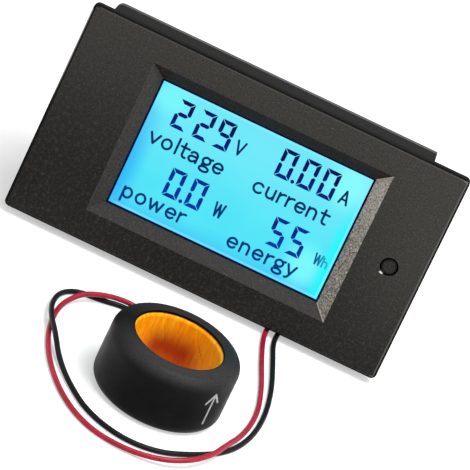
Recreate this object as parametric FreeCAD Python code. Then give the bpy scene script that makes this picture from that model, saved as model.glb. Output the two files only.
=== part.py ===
"""Panel-mounted voltage, current, power and energy meter with a ring current transformer.

Millimetres, +Z up. The meter leans back on its rear lower edge and on its two leads, and the ring
lies flat in front of it. The origin is on the table, under the middle of the meter and ring.
Each piece of the meter is drawn upright first, with x to the right, y back from the panel face
and z up from the panel's lower edge, and is then leaned back.
"""
import FreeCAD, Part
import math
import os

Vec = FreeCAD.Vector

# Clearances: between fixed pieces, between near faces, and round what turns or slides
fit = 0.15
slack = 0.05
run = 0.05

# Panel and housing
panel_w = 90.0
panel_h = 50.0
panel_t = 2.5
panel_corner_r = 1.2
panel_edge = 0.6
case_w = 84.0
case_h = 44.0
case_draft = 0.5
case_corner_r = 1.5
wall = 1.8
total_depth = 25.0
cover_t = 2.0

# Display window in the panel, and how far its view stays inside the housing
window_x = 0.75
window_up = 0.3
view_side_margin = 16.35
view_end_margin = 6.55
bevel_side = 3.1
bevel_height = 2.8
window_lip = 0.3
window_corner_r = 0.35

# Display stack, from the panel's back to the circuit board
film_t = 0.2
film_margin = 1.0
glass_margin_x = 2.5
glass_margin_h = 2.4
glass_t = 2.2
diffuser_t = 0.2
guide_t = 2.4
reflector_t = 0.15
holder_inset = 0.2
rib_t = 1.0
rib_len = 8.0
pin_count = 24
pin_pitch = 2.0
pin_w = 0.5
pin_t = 0.25
pin_reach = 0.8
pin_tail = 0.6
led_count = 3
led_w = 3.0
led_t = 0.7
led_pitch = 9.0

# Circuit board
board_face = 9.0
board_t = 1.6
board_gap = 0.4

# Button and switch
button_inset = 3.1
button_up = -0.2
button_hole_d = 4.2
button_d = 3.5
button_sink = 0.05
button_round = 0.3
shoulder_d = 5.2
shoulder_t = 0.7
shoulder_gap = 0.1
stem_d = 2.2
button_travel = 0.35
switch_side = 4.5
switch_t = 3.2
plunger_d = 2.4
plunger_len = 1.8
plunger_proud = 0.9
dome_d = 3.2
dome_t = 0.12
leg_w = 0.7
leg_t = 0.2
leg_out = 0.9
leg_pitch = 2.8

# Posts in the case, bosses of the cover, and the screws through them
post_d = 4.6
boss_d = 4.4
post_left_inset = 6.2
post_bay_inset = 3.9
post_floor = 2.25
screw_d = 2.2
screw_head_d = 4.2
screw_head_t = 1.3
screw_cross_t = 0.5
lip_t = 1.2
lip_h = 1.0

# Bare label on the cover
label_w = 40.0
label_h = 26.0
label_t = 0.12
label_corner_r = 1.5

# Wire bay at the right rear corner, and the terminal block in its wall
bay_reach = 5.5
bay_wall = 1.4
shelf_t = 1.4
shelf_gap = 0.4
pole_count = 4
block_w = 10.3
block_sink = 0.4
block_gap = 0.36
clamp_above_board = 3.5
clamp_open = 1.8
cage_inset = 2.2
cage_w = 5.0
cage_h = 5.4
cage_bar = 0.8
cage_side_gap = 0.15
tongue_t = 0.6
tongue_w = 3.4
strip_t = 0.5
strip_pin_w = 1.0
terminal_screw_d = 2.5
terminal_head_d = 4.2
terminal_head_t = 1.9
head_web = 0.8
slot_w = 0.8
slot_depth = 0.9
entry_w = 4.4
entry_below = 2.8
entry_above = 0.9

# Snap tabs in the short walls
tab_w = 12.0
tab_t = 1.2
tab_inset = 0.1
tab_pivot = 9.9
tab_tip = 4.5
tab_hook = 1.0
tab_catch = 5.5
tab_hook_flat = 0.5
tab_gap = 0.35

# Parts behind the board, as width, height and thickness; the tallest ones stop just short of the cover
tall_part_gap = 0.9
film_capacitor_size = (18.0, 8.5)
bulk_capacitor_d = 8.0
varistor_size = (9.0, 4.2, 9.0)
fuse_size = (3.2, 9.0, 0.7)
diode_size = (4.4, 2.6, 2.2)
diode_count = 4
diode_pitch = 3.6
metering_size = (9.9, 3.9, 1.5)
metering_legs = 8
controller_size = (12.8, 7.5, 2.3)
controller_legs = 10
memory_size = (4.9, 3.9, 1.5)
memory_legs = 4
chip_leg_pitch = 1.27
chip_leg = 0.4
crystal_size = (10.6, 4.4, 3.6)
chip_size = (1.6, 0.8, 0.5)
chip_pitch = 2.6
chip_columns = 5
chip_rows = 3
part_round = 0.6

# Their places above the meter's middle, and across it: right of the left posts, left of the terminal
# block, or from the middle
film_capacitor_from_post = (12.0, 11.0)
bulk_capacitor_from_post = (4.0, -8.5)
diodes_from_post = (17.0, -0.8)
chips_from_post = (21.0, -12.5)
fuse_from_block = (-15.2, 15.0)
metering_from_block = (-14.2, 4.0)
crystal_from_block = (-9.2, -5.4)
varistor_place = (-4.0, 14.0)
controller_place = (-4.0, -0.5)
memory_place = (6.0, -10.5)

# Ring current transformer
ct_x = 2.9
ct_y = -43.3
ct_d = 29.0
ct_height = 14.5
ct_rim_d = 20.0
ct_bore_d = 19.2
ct_edge_r = 2.3
ct_foot_r = 2.2
ct_shell = 1.1
tape_t = 0.45
tape_round = 0.9
winding_t = 0.6
winding_slot = 0.2
outlet_angle = 104.0
outlet_w = 5.2
outlet_h = 3.4
outlet_proud = 1.7
outlet_z = 3.2

# Leads
lead_d = 1.2
lead_gap = 0.05
lead_pitch = 1.6
lead_seat = 2.0
lead_straight = 4.0
arc_share = 0.45
tip_d = 0.7
tip_len = 4.6

# Where the leads lie: x, y and z from the panel's lower front edge, between outlet and terminals
red_route = [
    (-2.2, -19.8, 1.4), (-4.4, -15.8, 0.7), (-8.6, -13.2, 0.6), (-13.2, -14.8, 1.4),
    (-17.0, -18.2, 2.3), (-20.4, -21.8, 2.3), (-23.3, -26.8, 1.0), (-23.7, -33.8, 0.6),
    (-22.6, -42.4, 0.6), (-19.2, -52.4, 0.6), (-13.6, -62.0, 0.6), (-6.6, -68.2, 0.6),
    (1.6, -70.0, 0.7), (9.4, -69.4, 1.5), (15.4, -66.0, 2.35), (19.3, -59.8, 2.35),
    (21.2, -52.9, 2.0), (23.6, -43.6, 0.6), (24.6, -33.4, 0.6), (23.2, -22.4, 0.6),
    (20.7, -11.4, 0.6), (18.8, -0.6, 0.6), (19.5, 7.6, 0.6), (23.8, 13.6, 0.6),
    (30.4, 15.7, 0.6), (35.2, 15.4, 0.6), (39.4, 15.6, 1.8), (41.6, 16.5, 5.9),
    (41.9, 18.0, 11.0), (41.2, 18.9, 16.3),
]
black_route = [
    (-4.0, -21.9, 1.5), (-6.3, -17.7, 0.7), (-10.8, -15.9, 0.6), (-16.4, -17.5, 0.6),
    (-21.6, -18.1, 0.6), (-24.8, -22.2, 0.6), (-25.3, -29.4, 1.5), (-24.0, -35.8, 2.2),
    (-21.4, -41.8, 2.2), (-18.6, -48.0, 1.0), (-14.4, -55.0, 0.6), (-8.2, -62.6, 0.6),
    (0.4, -66.4, 0.6), (8.6, -65.4, 0.6), (15.4, -60.4, 0.6), (21.8, -53.6, 0.6),
    (25.2, -44.6, 0.6), (26.3, -33.6, 0.6), (25.4, -21.6, 0.6), (23.3, -10.6, 0.6),
    (21.2, -0.8, 0.6), (22.4, 7.2, 0.6), (27.0, 12.4, 0.6), (32.0, 13.7, 0.6),
    (36.2, 13.7, 0.6), (39.8, 14.1, 2.2), (41.4, 15.1, 5.9), (40.9, 16.2, 9.6),
]

# Places in the housing that follow from the sizes above
half_w = case_w / 2
mid_h = panel_h / 2
floor_h = (panel_h - case_h) / 2
inner_x = half_w - wall
inner_lo = floor_h + wall
inner_hi = panel_h - inner_lo
window_h = mid_h + window_up
view_w = case_w - 2 * view_side_margin
view_h = case_h - 2 * view_end_margin
cover_face = total_depth - cover_t
board_back = board_face + board_t
bay_x = half_w - bay_reach
shelf_back = board_back + shelf_gap + shelf_t
post_left_x = post_left_inset - inner_x
post_right_x = bay_x - post_bay_inset
post_lo = inner_lo + post_d / 2
post_hi = inner_hi - post_d / 2
lead_r = lead_d / 2

# Display stack, each piece behind the one before
glass_w = view_w + 2 * glass_margin_x
glass_h = view_h + 2 * glass_margin_h
glass_lo = window_h - glass_h / 2
glass_hi = window_h + glass_h / 2
guide_w = view_w + 2 * film_margin
guide_h = view_h + 2 * film_margin
front_film_face = panel_t + slack
glass_face = front_film_face + film_t
rear_film_face = glass_face + glass_t
diffuser_face = rear_film_face + film_t
guide_face = diffuser_face + diffuser_t
reflector_face = guide_face + guide_t
reflector_back = reflector_face + reflector_t
pin_top = glass_lo - slack
pin_finger = film_t
led_x = window_x - guide_w / 2 - slack

# Button and switch, one behind the other
button_x = inner_x - button_inset
button_h = mid_h + button_up
shoulder_face = panel_t + shoulder_gap
switch_face = board_face - switch_t
stem_back = switch_face - plunger_proud
plunger_back = stem_back + plunger_len
dome_face = plunger_back + button_travel + slack

# Cover screws: heads sunk in the cover, tips short of the panel
screw_seat = total_depth - screw_head_t - fit
screw_tip = panel_t + post_floor

# Terminal block, between the right posts: the screw turns in it, and its cage rises towards the head
pole_pitch = (inner_hi - inner_lo - 2 * (post_d + block_gap)) / pole_count
clamp_d = board_back + clamp_above_board
pole_h = [mid_h + (i - (pole_count - 1) / 2) * pole_pitch for i in range(pole_count)]
block_lo = mid_h - pole_count * pole_pitch / 2
block_hi = mid_h + pole_count * pole_pitch / 2
block_x = bay_x - block_w
block_back = total_depth - block_sink
label_x = (post_left_x + block_x) / 2
tall_part_t = cover_face - board_back - tall_part_gap
cage_x = block_x + cage_inset
cage_end = cage_x + cage_w
screw_x = cage_x + cage_w / 2
strip_x = cage_x - cage_side_gap - strip_t
tongue_face = clamp_d + tip_d / 2 + slack
tongue_back = tongue_face + tongue_t
bar_top = clamp_d - tip_d / 2 - slack
cage_lo = bar_top - cage_bar
cage_hi = tongue_back + clamp_open + 2 * slack + cage_bar
pocket_x = strip_x - slack
pocket_end = cage_end + 4 * cage_side_gap
pocket_lo = cage_lo - clamp_open - 2 * slack
pocket_hi = cage_hi + 2 * fit
head_seat = pocket_hi + head_web

# Snap tab on the right
tab_face = half_w - tab_inset
tab_axis_x = tab_face - tab_t / 2
tab_root = tab_pivot + tab_t / 2
tab_lo = mid_h - tab_w / 2
tab_hi = mid_h + tab_w / 2

# Ring: radii and heights, each layer inside the one before
ct_r = ct_d / 2
rim_r = ct_rim_d / 2
bore_r = ct_bore_d / 2
shell_in = ct_r - ct_shell
tape_out = shell_in - slack
tape_lo = ct_shell + slack
tape_hi = ct_height - tape_lo
coil_in = bore_r + tape_t + slack
coil_out = tape_out - slack
coil_lo = tape_lo + tape_t + slack
coil_hi = ct_height - coil_lo
core_in = coil_in + winding_t + slack
core_out = coil_out - winding_t - slack
core_lo = coil_lo + winding_t + slack
core_hi = ct_height - core_lo
outlet_face = ct_r + outlet_proud
lead_start = outlet_face - lead_seat

# Lean: the rear lower edge is on the table, and the panel's lower edge rests on the leads
rear_step = floor_h + case_draft
rear_run = total_depth - panel_t
lean = math.atan2(rear_step, rear_run)
lean += math.asin((lead_d + lead_gap) / math.hypot(rear_run, rear_step))
lean_sin = math.sin(lean)
lean_cos = math.cos(lean)
panel_z = lead_d + lead_gap + panel_t * lean_sin

# The origin is under the middle of the box round the meter and the ring
front_y = ct_y - ct_r
back_y = total_depth * lean_cos + (panel_h - rear_step) * lean_sin
origin_y = (front_y + back_y) / 2

os.makedirs("parts", exist_ok=True)


def at(x, y, z):
    """A point given from the panel's lower front edge, moved to the common origin."""
    return Vec(x, y - origin_y, z)


def in_meter(x, d, h):
    """The place of a point of the upright meter once it leans back."""
    return at(x, d * lean_cos + h * lean_sin, panel_z + h * lean_cos - d * lean_sin)


def lean_back(shape):
    """Leans an upright piece of the meter back about its lower front edge."""
    leaned = shape.copy()
    leaned.rotate(Vec(0, 0, 0), Vec(1, 0, 0), -math.degrees(lean))
    leaned.translate(at(0, 0, panel_z))
    return leaned


def box(x0, x1, d0, d1, h0, h1):
    """A block between two corners in the upright meter."""
    return Part.makeBox(x1 - x0, d1 - d0, h1 - h0, Vec(x0, d0, h0))


def plate(cx, ch, w, h, d0, d1):
    """A flat block across the meter, centred on a point."""
    return box(cx - w / 2, cx + w / 2, d0, d1, ch - h / 2, ch + h / 2)


def rod(diameter, x, d0, d1, h):
    """A round bar along the meter's depth."""
    return Part.makeCylinder(diameter / 2, d1 - d0, Vec(x, d0, h), Vec(0, 1, 0))


def outline(cx, ch, w, h, r, d):
    """A rectangle with round corners, across the meter at depth d."""
    x0, x1, h0, h1 = cx - w / 2, cx + w / 2, ch - h / 2, ch + h / 2
    k = r * (1 - math.sqrt(0.5))
    corners = [
        (Vec(x1 - r, d, h0), Vec(x1 - k, d, h0 + k), Vec(x1, d, h0 + r)),
        (Vec(x1, d, h1 - r), Vec(x1 - k, d, h1 - k), Vec(x1 - r, d, h1)),
        (Vec(x0 + r, d, h1), Vec(x0 + k, d, h1 - k), Vec(x0, d, h1 - r)),
        (Vec(x0, d, h0 + r), Vec(x0 + k, d, h0 + k), Vec(x0 + r, d, h0)),
    ]
    edges = []
    for i, (start, middle, end) in enumerate(corners):
        edges.append(Part.Arc(start, middle, end).toShape())
        edges.append(Part.LineSegment(end, corners[(i + 1) % 4][0]).toShape())
    return Part.Wire(edges)


def frustum(cx, ch, first, last, r0, r1):
    """A block that narrows evenly between two rounded rectangles, each (width, height, depth)."""
    ends = [outline(cx, ch, w, h, r, d) for (w, h, d), r in ((first, r0), (last, r1))]
    return Part.makeLoft(ends, True, True)


def rounded_plate(cx, ch, w, h, d0, d1, r):
    """A flat block across the meter with round corners."""
    return frustum(cx, ch, (w, h, d0), (w, h, d1), r, r)


def save(name, shape):
    """Writes one node, and prints how many solids it has, their volume and whether it is valid."""
    shape.exportStep("parts/" + name + ".step")
    print(name, len(shape.Solids), round(shape.Volume, 3), shape.isValid())


# Front case and rear cover
def housing(d0, d1):
    """The part of the tapering housing between two depths."""
    def size(d):
        taper = 2 * case_draft * (d - panel_t) / rear_run
        return (case_w - taper, case_h - taper, d)
    return frustum(0, mid_h, size(d0), size(d1), case_corner_r, case_corner_r)


def posts(diameter, d0, d1):
    """A round bar at each of the four screw places."""
    places = [(x, h) for x in (post_left_x, post_right_x) for h in (post_lo, post_hi)]
    return [rod(diameter, x, d0, d1, h) for x, h in places]


def mirrored(shape, side):
    """The shape itself on the right (side 1), or its mirror image on the left (side -1)."""
    return shape if side > 0 else shape.mirror(Vec(0, 0, 0), Vec(1, 0, 0))


def tab_window(side):
    """The opening in a short wall that its snap tab moves in."""
    opening = box(inner_x - slack, panel_w, tab_tip - tab_gap, tab_root + tab_gap,
                  tab_lo - tab_gap, tab_hi + tab_gap)
    return mirrored(opening, side)


def display_ribs():
    """Short ribs behind the panel that keep the glass in place."""
    ribs = []
    for side in (-1, 1):
        x = window_x + side * (glass_w / 2 + fit + rib_t / 2)
        for h in (glass_lo + rib_len, glass_hi - rib_len):
            ribs.append(plate(x, h, rib_t, rib_len, panel_t, rear_film_face))
        x = window_x + side * glass_w / 3
        ribs.append(plate(x, glass_hi + fit + rib_t / 2, rib_len, rib_t, panel_t, rear_film_face))
    return ribs


def bay_walls():
    """Shelf and bulkhead that close the housing off from the wire bay, round the block."""
    left = bay_x - bay_wall
    shelf = box(left, inner_x + slack, shelf_back - shelf_t, shelf_back, inner_lo - slack, inner_hi + slack)
    bulkhead = box(left, bay_x, shelf_back, cover_face, inner_lo - slack, inner_hi + slack)
    block_room = box(block_x, bay_x, board_back, total_depth, block_lo - fit, block_hi + fit)
    return shelf.fuse(bulkhead).cut(block_room)


def front_case():
    """Panel with its window and button hole, walls, posts, ribs and the walls of the wire bay."""
    inner_edge = panel_corner_r - panel_edge / 2
    face = frustum(0, mid_h, (panel_w - 2 * panel_edge, panel_h - 2 * panel_edge, 0),
                   (panel_w, panel_h, panel_edge), inner_edge, panel_corner_r)
    flange = rounded_plate(0, mid_h, panel_w, panel_h, panel_edge, panel_t, panel_corner_r)
    cavity = box(-inner_x, inner_x, panel_t, total_depth, inner_lo, inner_hi)
    bay = box(bay_x, panel_w, shelf_back, total_depth, 0, panel_h)
    walls = housing(panel_t, cover_face).cut([cavity, bay])
    inside = [bay_walls()] + display_ribs() + posts(post_d, panel_t, board_face)
    case = face.fuse([flange, walls] + inside)

    lip_face = panel_t - window_lip
    recess = (view_w + 2 * bevel_side, view_h + 2 * bevel_height, 0)
    bevel = frustum(window_x, window_h, recess, (view_w, view_h, lip_face), window_corner_r, window_corner_r)
    lip = rounded_plate(window_x, window_h, view_w, view_h, lip_face, panel_t, window_corner_r)
    holes = [bevel, lip, rod(button_hole_d, button_x, 0, panel_t, button_h)]
    holes += posts(screw_d + 2 * run, screw_tip - slack, board_face)
    holes += [tab_window(-1), tab_window(1)]
    return case.cut(holes).removeSplitter()


def rear_cover():
    """Plate with a locating lip, four hollow bosses, and an opening for the terminal block."""
    left, right = -inner_x + fit, bay_x - bay_wall - fit
    low, high = inner_lo + fit, inner_hi - fit
    lip_face = cover_face - lip_h
    lip = box(left, right, lip_face, cover_face, low, high)
    lip = lip.cut(box(left + lip_t, right - lip_t, lip_face, cover_face, low + lip_t, high - lip_t))
    cover = housing(cover_face, total_depth).fuse([lip] + posts(boss_d, board_back + slack, cover_face))
    cuts = [box(bay_x, panel_w, lip_face, total_depth, 0, panel_h)]
    cuts.append(box(block_x - fit, panel_w, lip_face, total_depth, block_lo - fit, block_hi + fit))
    cuts += posts(screw_d + 2 * fit, board_back, total_depth)
    cuts += posts(screw_head_d + 2 * fit, screw_seat, total_depth)
    cuts.append(plate(label_x, mid_h, label_w + 2 * fit, label_h + 2 * fit,
                      total_depth - label_t - slack, total_depth))
    return cover.cut(cuts).removeSplitter()


def rear_label():
    """Bare sticker in a shallow recess of the cover."""
    face = total_depth - label_t - slack
    return rounded_plate(label_x, mid_h, label_w, label_h, face, face + label_t, label_corner_r)


def cover_screws():
    """Four long self-tapping screws through cover and board into the case."""
    screws = []
    top = screw_seat + screw_head_t
    bar = screw_head_d * 0.6
    for shank, head in zip(posts(screw_d, screw_tip, screw_seat), posts(screw_head_d, screw_seat, top)):
        x, h = head.CenterOfMass.x, head.CenterOfMass.z
        cross = [plate(x, h, bar, screw_cross_t, top - screw_head_t / 2, top),
                 plate(x, h, screw_cross_t, bar, top - screw_head_t / 2, top)]
        screws.append(head.fuse(shank).cut(cross).removeSplitter())
    return Part.makeCompound(screws)


# Display
def pin_x(i):
    """Middle of one display pin."""
    return window_x + (i - (pin_count - 1) / 2) * pin_pitch


def lcd_pins():
    """Row of pins that grip the lower edge of the glass and run back through the board."""
    pins = []
    for i in range(pin_count):
        x0, x1 = pin_x(i) - pin_w / 2, pin_x(i) + pin_w / 2
        low, high = pin_top - pin_t, pin_top + pin_reach
        strip = box(x0, x1, front_film_face, board_back + pin_tail, low, pin_top)
        front = box(x0, x1, front_film_face, glass_face, low, high)
        rear = box(x0, x1, rear_film_face, rear_film_face + pin_finger, low, high)
        pins.append(strip.fuse([front, rear]).removeSplitter())
    return Part.makeCompound(pins)


def lcd_holder():
    """White tray that holds the light guide and its lamps behind the glass."""
    face = diffuser_face + slack
    tray = plate(window_x, window_h, glass_w - 2 * holder_inset, glass_h - 2 * holder_inset, face, board_face)
    pocket = plate(window_x, window_h, guide_w + 2 * slack, guide_h + 2 * slack, face, reflector_back)
    lamp_room = box(led_x - led_t - slack, window_x, guide_face, reflector_back,
                    window_h - led_count * led_pitch / 2, window_h + led_count * led_pitch / 2)
    return tray.cut([pocket, lamp_room])


def backlight_leds():
    """Side-firing lamps at the left end of the light guide."""
    lamps = []
    for i in range(led_count):
        h = window_h + (i - (led_count - 1) / 2) * led_pitch
        lamps.append(box(led_x - led_t, led_x, guide_face + fit, reflector_back, h - led_w / 2, h + led_w / 2))
    return Part.makeCompound(lamps)


# Circuit board
def main_board():
    """Glass-fibre board on the case posts, with holes for screws, display pins and terminals."""
    board = box(board_gap - inner_x, inner_x - board_gap, board_face, board_back,
                inner_lo + board_gap, inner_hi - board_gap)
    holes = posts(screw_d + 2 * fit, board_face, board_back)
    for i in range(pin_count):
        holes.append(plate(pin_x(i), pin_top - pin_t / 2, pin_w + 2 * slack, pin_t + 2 * slack, board_face, board_back))
    for h in pole_h:
        holes.append(plate(strip_x + strip_t / 2, h, strip_t + 2 * slack, strip_pin_w + 2 * slack,
                           board_face, board_back))
    return board.cut(holes)


# Button and switch
def button_cap():
    """Round cap, a shoulder that keeps it behind the panel, and a stem on the switch."""
    cap = rod(button_d, button_x, button_sink, shoulder_face, button_h)
    rim = [edge for edge in cap.Edges if abs(edge.BoundBox.YMax - button_sink) < slack / 2]
    cap = cap.makeFillet(button_round, rim)
    shoulder = rod(shoulder_d, button_x, shoulder_face, shoulder_face + shoulder_t, button_h)
    stem = rod(stem_d, button_x, shoulder_face + shoulder_t, stem_back, button_h)
    return cap.fuse([shoulder, stem]).removeSplitter()


def switch_body():
    """Square switch housing with a well for the plunger and a room for the snap dome."""
    body = plate(button_x, button_h, switch_side, switch_side, switch_face, board_face)
    well = rod(plunger_d + 2 * run, button_x, switch_face, dome_face, button_h)
    room = rod(dome_d + 2 * run, button_x, dome_face - slack, dome_face + dome_t + 2 * slack, button_h)
    return body.cut([well, room])


def switch_legs():
    """Four flat legs at the upper and lower sides of the switch."""
    legs = []
    for side in (-1, 1):
        h = button_h + side * (switch_side + leg_out) / 2
        for x in (button_x - leg_pitch / 2, button_x + leg_pitch / 2):
            legs.append(plate(x, h, leg_w, leg_out, board_face - leg_t, board_face))
    return Part.makeCompound(legs)


# Terminal block
def terminal_body():
    """Insulating block with a cage pocket, a wire entry and a screw well for each pole."""
    block = box(block_x, bay_x, board_back, block_back, block_lo, block_hi)
    half = cage_h / 2 + cage_side_gap
    cuts = []
    for h in pole_h:
        cuts.append(box(pocket_x, pocket_end, pocket_lo, pocket_hi, h - half, h + half))
        cuts.append(box(cage_end, bay_x, clamp_d - entry_below, clamp_d + entry_above,
                        h - entry_w / 2, h + entry_w / 2))
        cuts.append(rod(terminal_screw_d + 2 * fit, screw_x, cage_lo, head_seat, h))
        cuts.append(rod(terminal_head_d + 2 * fit, screw_x, head_seat, block_back, h))
        cuts.append(plate(strip_x + strip_t / 2, h, strip_t + 2 * slack, strip_pin_w + 2 * slack,
                          board_back, cage_lo))
    return block.cut(cuts)


def terminal_strips():
    """Four contact tongues, each with a leg down through the board."""
    strips = []
    for h in pole_h:
        tongue = box(strip_x, cage_end + cage_side_gap, tongue_face, tongue_back, h - tongue_w / 2, h + tongue_w / 2)
        drop = plate(strip_x + strip_t / 2, h, strip_t, tongue_w, pocket_lo + slack, tongue_back)
        pin = plate(strip_x + strip_t / 2, h, strip_t, strip_pin_w, board_face, tongue_face)
        strips.append(tongue.fuse([drop, pin]).removeSplitter())
    return Part.makeCompound(strips)


def terminal_clamp(h, drop):
    """Cage round the contact tongue, with a threaded hole; drop is how far it is let down."""
    low, high = cage_lo - drop, cage_hi - drop
    cage = box(cage_x, cage_end, low, high, h - cage_h / 2, h + cage_h / 2)
    window = box(cage_x, cage_end, low + cage_bar, high - cage_bar,
                 h - cage_h / 2 + cage_bar, h + cage_h / 2 - cage_bar)
    thread = rod(terminal_screw_d + 2 * run, screw_x, high - cage_bar, high, h)
    return cage.cut([window, thread])


def terminal_screw(h):
    """Slotted screw whose head sits in the well of the block."""
    top = head_seat + terminal_head_t
    head = rod(terminal_head_d, screw_x, head_seat + slack, top, h)
    shank = rod(terminal_screw_d, screw_x, tongue_back + slack, head_seat + slack, h)
    slot = plate(screw_x, h, slot_w, 2 * terminal_head_d, top - slot_depth, top)
    return head.fuse(shank).cut(slot).removeSplitter()


# Snap tabs
def snap_tab(side):
    """Springy tab with a ramped hook, and a round root at the line it bends about."""
    body = box(tab_face - tab_t, tab_face, tab_tip, tab_pivot, tab_lo, tab_hi)
    root = Part.makeCylinder(tab_t / 2, tab_w, Vec(tab_axis_x, tab_pivot, tab_lo))
    ramp = [(tab_face, tab_catch), (tab_face + tab_hook, tab_catch),
            (tab_face + tab_hook, tab_catch + tab_hook_flat), (tab_face, tab_pivot - tab_t / 2)]
    points = [Vec(x, d, tab_lo) for x, d in ramp + ramp[:1]]
    hook = Part.Face(Part.makePolygon(points)).extrude(Vec(0, 0, tab_w))
    return mirrored(body.fuse([root, hook]).removeSplitter(), side)


# Bent wires and cords: straight runs joined by tangent arcs
def bent_path(points):
    """Path along a route, where each arc takes 0.45 of the shorter run beside its point."""
    edges = []
    radii = []
    last = points[0]
    for before, corner, after in zip(points, points[1:], points[2:]):
        back, ahead = before - corner, after - corner
        turn = math.pi - back.getAngle(ahead)
        reach = arc_share * min(back.Length, ahead.Length)
        radius = reach / math.tan(turn / 2)
        back.normalize()
        ahead.normalize()
        start, end = corner + back * reach, corner + ahead * reach
        inward = (back + ahead).normalize()
        middle = corner + inward * (radius / math.cos(turn / 2) - radius)
        edges.append(Part.LineSegment(last, start).toShape())
        edges.append(Part.Arc(start, middle, end).toShape())
        radii.append(round(radius, 1))
        last = end
    edges.append(Part.LineSegment(last, points[-1]).toShape())
    return Part.Wire(edges), radii


def swept(path, diameter):
    """Round solid along a path."""
    first = path.Edges[0]
    start = first.valueAt(first.FirstParameter)
    section = Part.Wire(Part.makeCircle(diameter / 2, start, first.tangentAt(first.FirstParameter)))
    return path.makePipeShell([section], True, False)


# Parts behind the board
def by_post(place):
    """A place given from the left posts."""
    return (post_left_x + place[0], place[1])


def by_block(place):
    """A place given from the terminal block."""
    return (block_x + place[0], place[1])


def standing_block(size, place):
    """Block with rounded upright edges that stands on the board."""
    w, h, t = size
    x, up = place
    return rounded_plate(x, mid_h + up, w, h, board_back, board_back + t, part_round)


def standing_can(size, place):
    """Round can with a rounded top that stands on the board."""
    d, length = size
    x, up = place
    can = rod(d, x, board_back, board_back + length, mid_h + up)
    rim = [edge for edge in can.Edges if abs(edge.BoundBox.YMin - board_back - length) < slack]
    return can.makeFillet(part_round, rim)


def lying_rod(size, place):
    """Round part lying above the board, with its two wires bent down to it."""
    d, length, wire = size
    x, up = place
    middle, high = mid_h + up, board_back + d / 2 + slack
    reach = length / 2 + 2 * wire
    body = Part.makeCylinder(d / 2, length, Vec(x - length / 2, high, middle), Vec(1, 0, 0))
    corners = [(-reach, board_back), (-reach, high), (reach, high), (reach, board_back)]
    path, radii = bent_path([Vec(x + side, depth, middle) for side, depth in corners])
    return body.fuse(swept(path, wire)).removeSplitter()


def legged_chip(size, place, legs_side):
    """Flat chip with a row of legs along its upper and lower sides."""
    w, h, t = size
    x, up = place
    body = plate(x, mid_h + up, w, h, board_back + leg_t, board_back + t)
    legs = []
    for i in range(legs_side):
        leg_x = x + (i - (legs_side - 1) / 2) * chip_leg_pitch
        legs.append(plate(leg_x, mid_h + up, chip_leg, h + 2 * leg_out, board_back, board_back + chip_leg))
    return body.fuse(legs).removeSplitter()


def rectifier_diodes():
    """Moulded diodes in a column."""
    x, up = by_post(diodes_from_post)
    places = [(x, up + (i - (diode_count - 1) / 2) * diode_pitch) for i in range(diode_count)]
    return Part.makeCompound([standing_block(diode_size, place) for place in places])


def chip_parts():
    """Rows of small chip resistors."""
    w, h, t = chip_size
    x, up = by_post(chips_from_post)
    chips = []
    for row in range(chip_rows):
        for column in range(chip_columns):
            chips.append(plate(x + column * chip_pitch, mid_h + up + row * chip_pitch, w, h,
                               board_back, board_back + t))
    return Part.makeCompound(chips)


# Ring current transformer
def at_outlet(shape):
    """Turns a piece drawn along +X from the ring's axis to the outlet, and moves it to the ring's place."""
    placed = shape.copy()
    placed.rotate(Vec(0, 0, 0), Vec(0, 0, 1), outlet_angle)
    placed.translate(at(ct_x, ct_y, 0))
    return placed


def turned(path):
    """Turns a closed profile of (r, z) corners into a ring; a third pair is a middle point of an arc."""
    edges = []
    for i, (r, z, *middle) in enumerate(path):
        after = path[(i + 1) % len(path)]
        start, end = Vec(r, 0, z), Vec(after[0], 0, after[1])
        if middle:
            edges.append(Part.Arc(start, Vec(middle[0], 0, middle[1]), end).toShape())
        else:
            edges.append(Part.LineSegment(start, end).toShape())
    ring = Part.Face(Part.Wire(edges)).revolve(Vec(0, 0, 0), Vec(0, 0, 1), 360)
    ring.translate(at(ct_x, ct_y, 0))
    return ring


def outlet_block(grow):
    """Block of the lead outlet in the jacket; grow widens it for the opening that it sits in."""
    block = Part.makeBox(outlet_face - shell_in, outlet_w + 2 * grow, outlet_h + 2 * grow,
                         Vec(shell_in, -outlet_w / 2 - grow, outlet_z - outlet_h / 2 - grow))
    return at_outlet(block)


def ct_jacket():
    """Black moulded shell, open at the bore, with round edges and an opening for the outlet."""
    bend = 1 - math.sqrt(0.5)
    e, f = ct_edge_r, ct_foot_r
    top, shell_top = ct_height, ct_height - ct_shell
    path = [
        (rim_r, 0), (ct_r - f, 0, ct_r - f * bend, f * bend), (ct_r, f),
        (ct_r, top - e, ct_r - e * bend, top - e * bend), (ct_r - e, top), (rim_r, top),
        (rim_r, shell_top), (shell_in, shell_top), (shell_in, ct_shell), (rim_r, ct_shell),
    ]
    return turned(path).cut(outlet_block(slack))


def ct_tape_wrap():
    """Orange tape that lines the bore and turns over both ends of the winding."""
    bend = 1 - math.sqrt(0.5)
    e, t = tape_round, tape_t
    path = [
        (bore_r + e, tape_lo), (tape_out, tape_lo), (tape_out, tape_lo + t), (bore_r + t, tape_lo + t),
        (bore_r + t, tape_hi - t), (tape_out, tape_hi - t), (tape_out, tape_hi),
        (bore_r + e, tape_hi, bore_r + e * bend, tape_hi - e * bend), (bore_r, tape_hi - e),
        (bore_r, tape_lo + e, bore_r + e * bend, tape_lo + e * bend),
    ]
    return turned(path)


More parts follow.
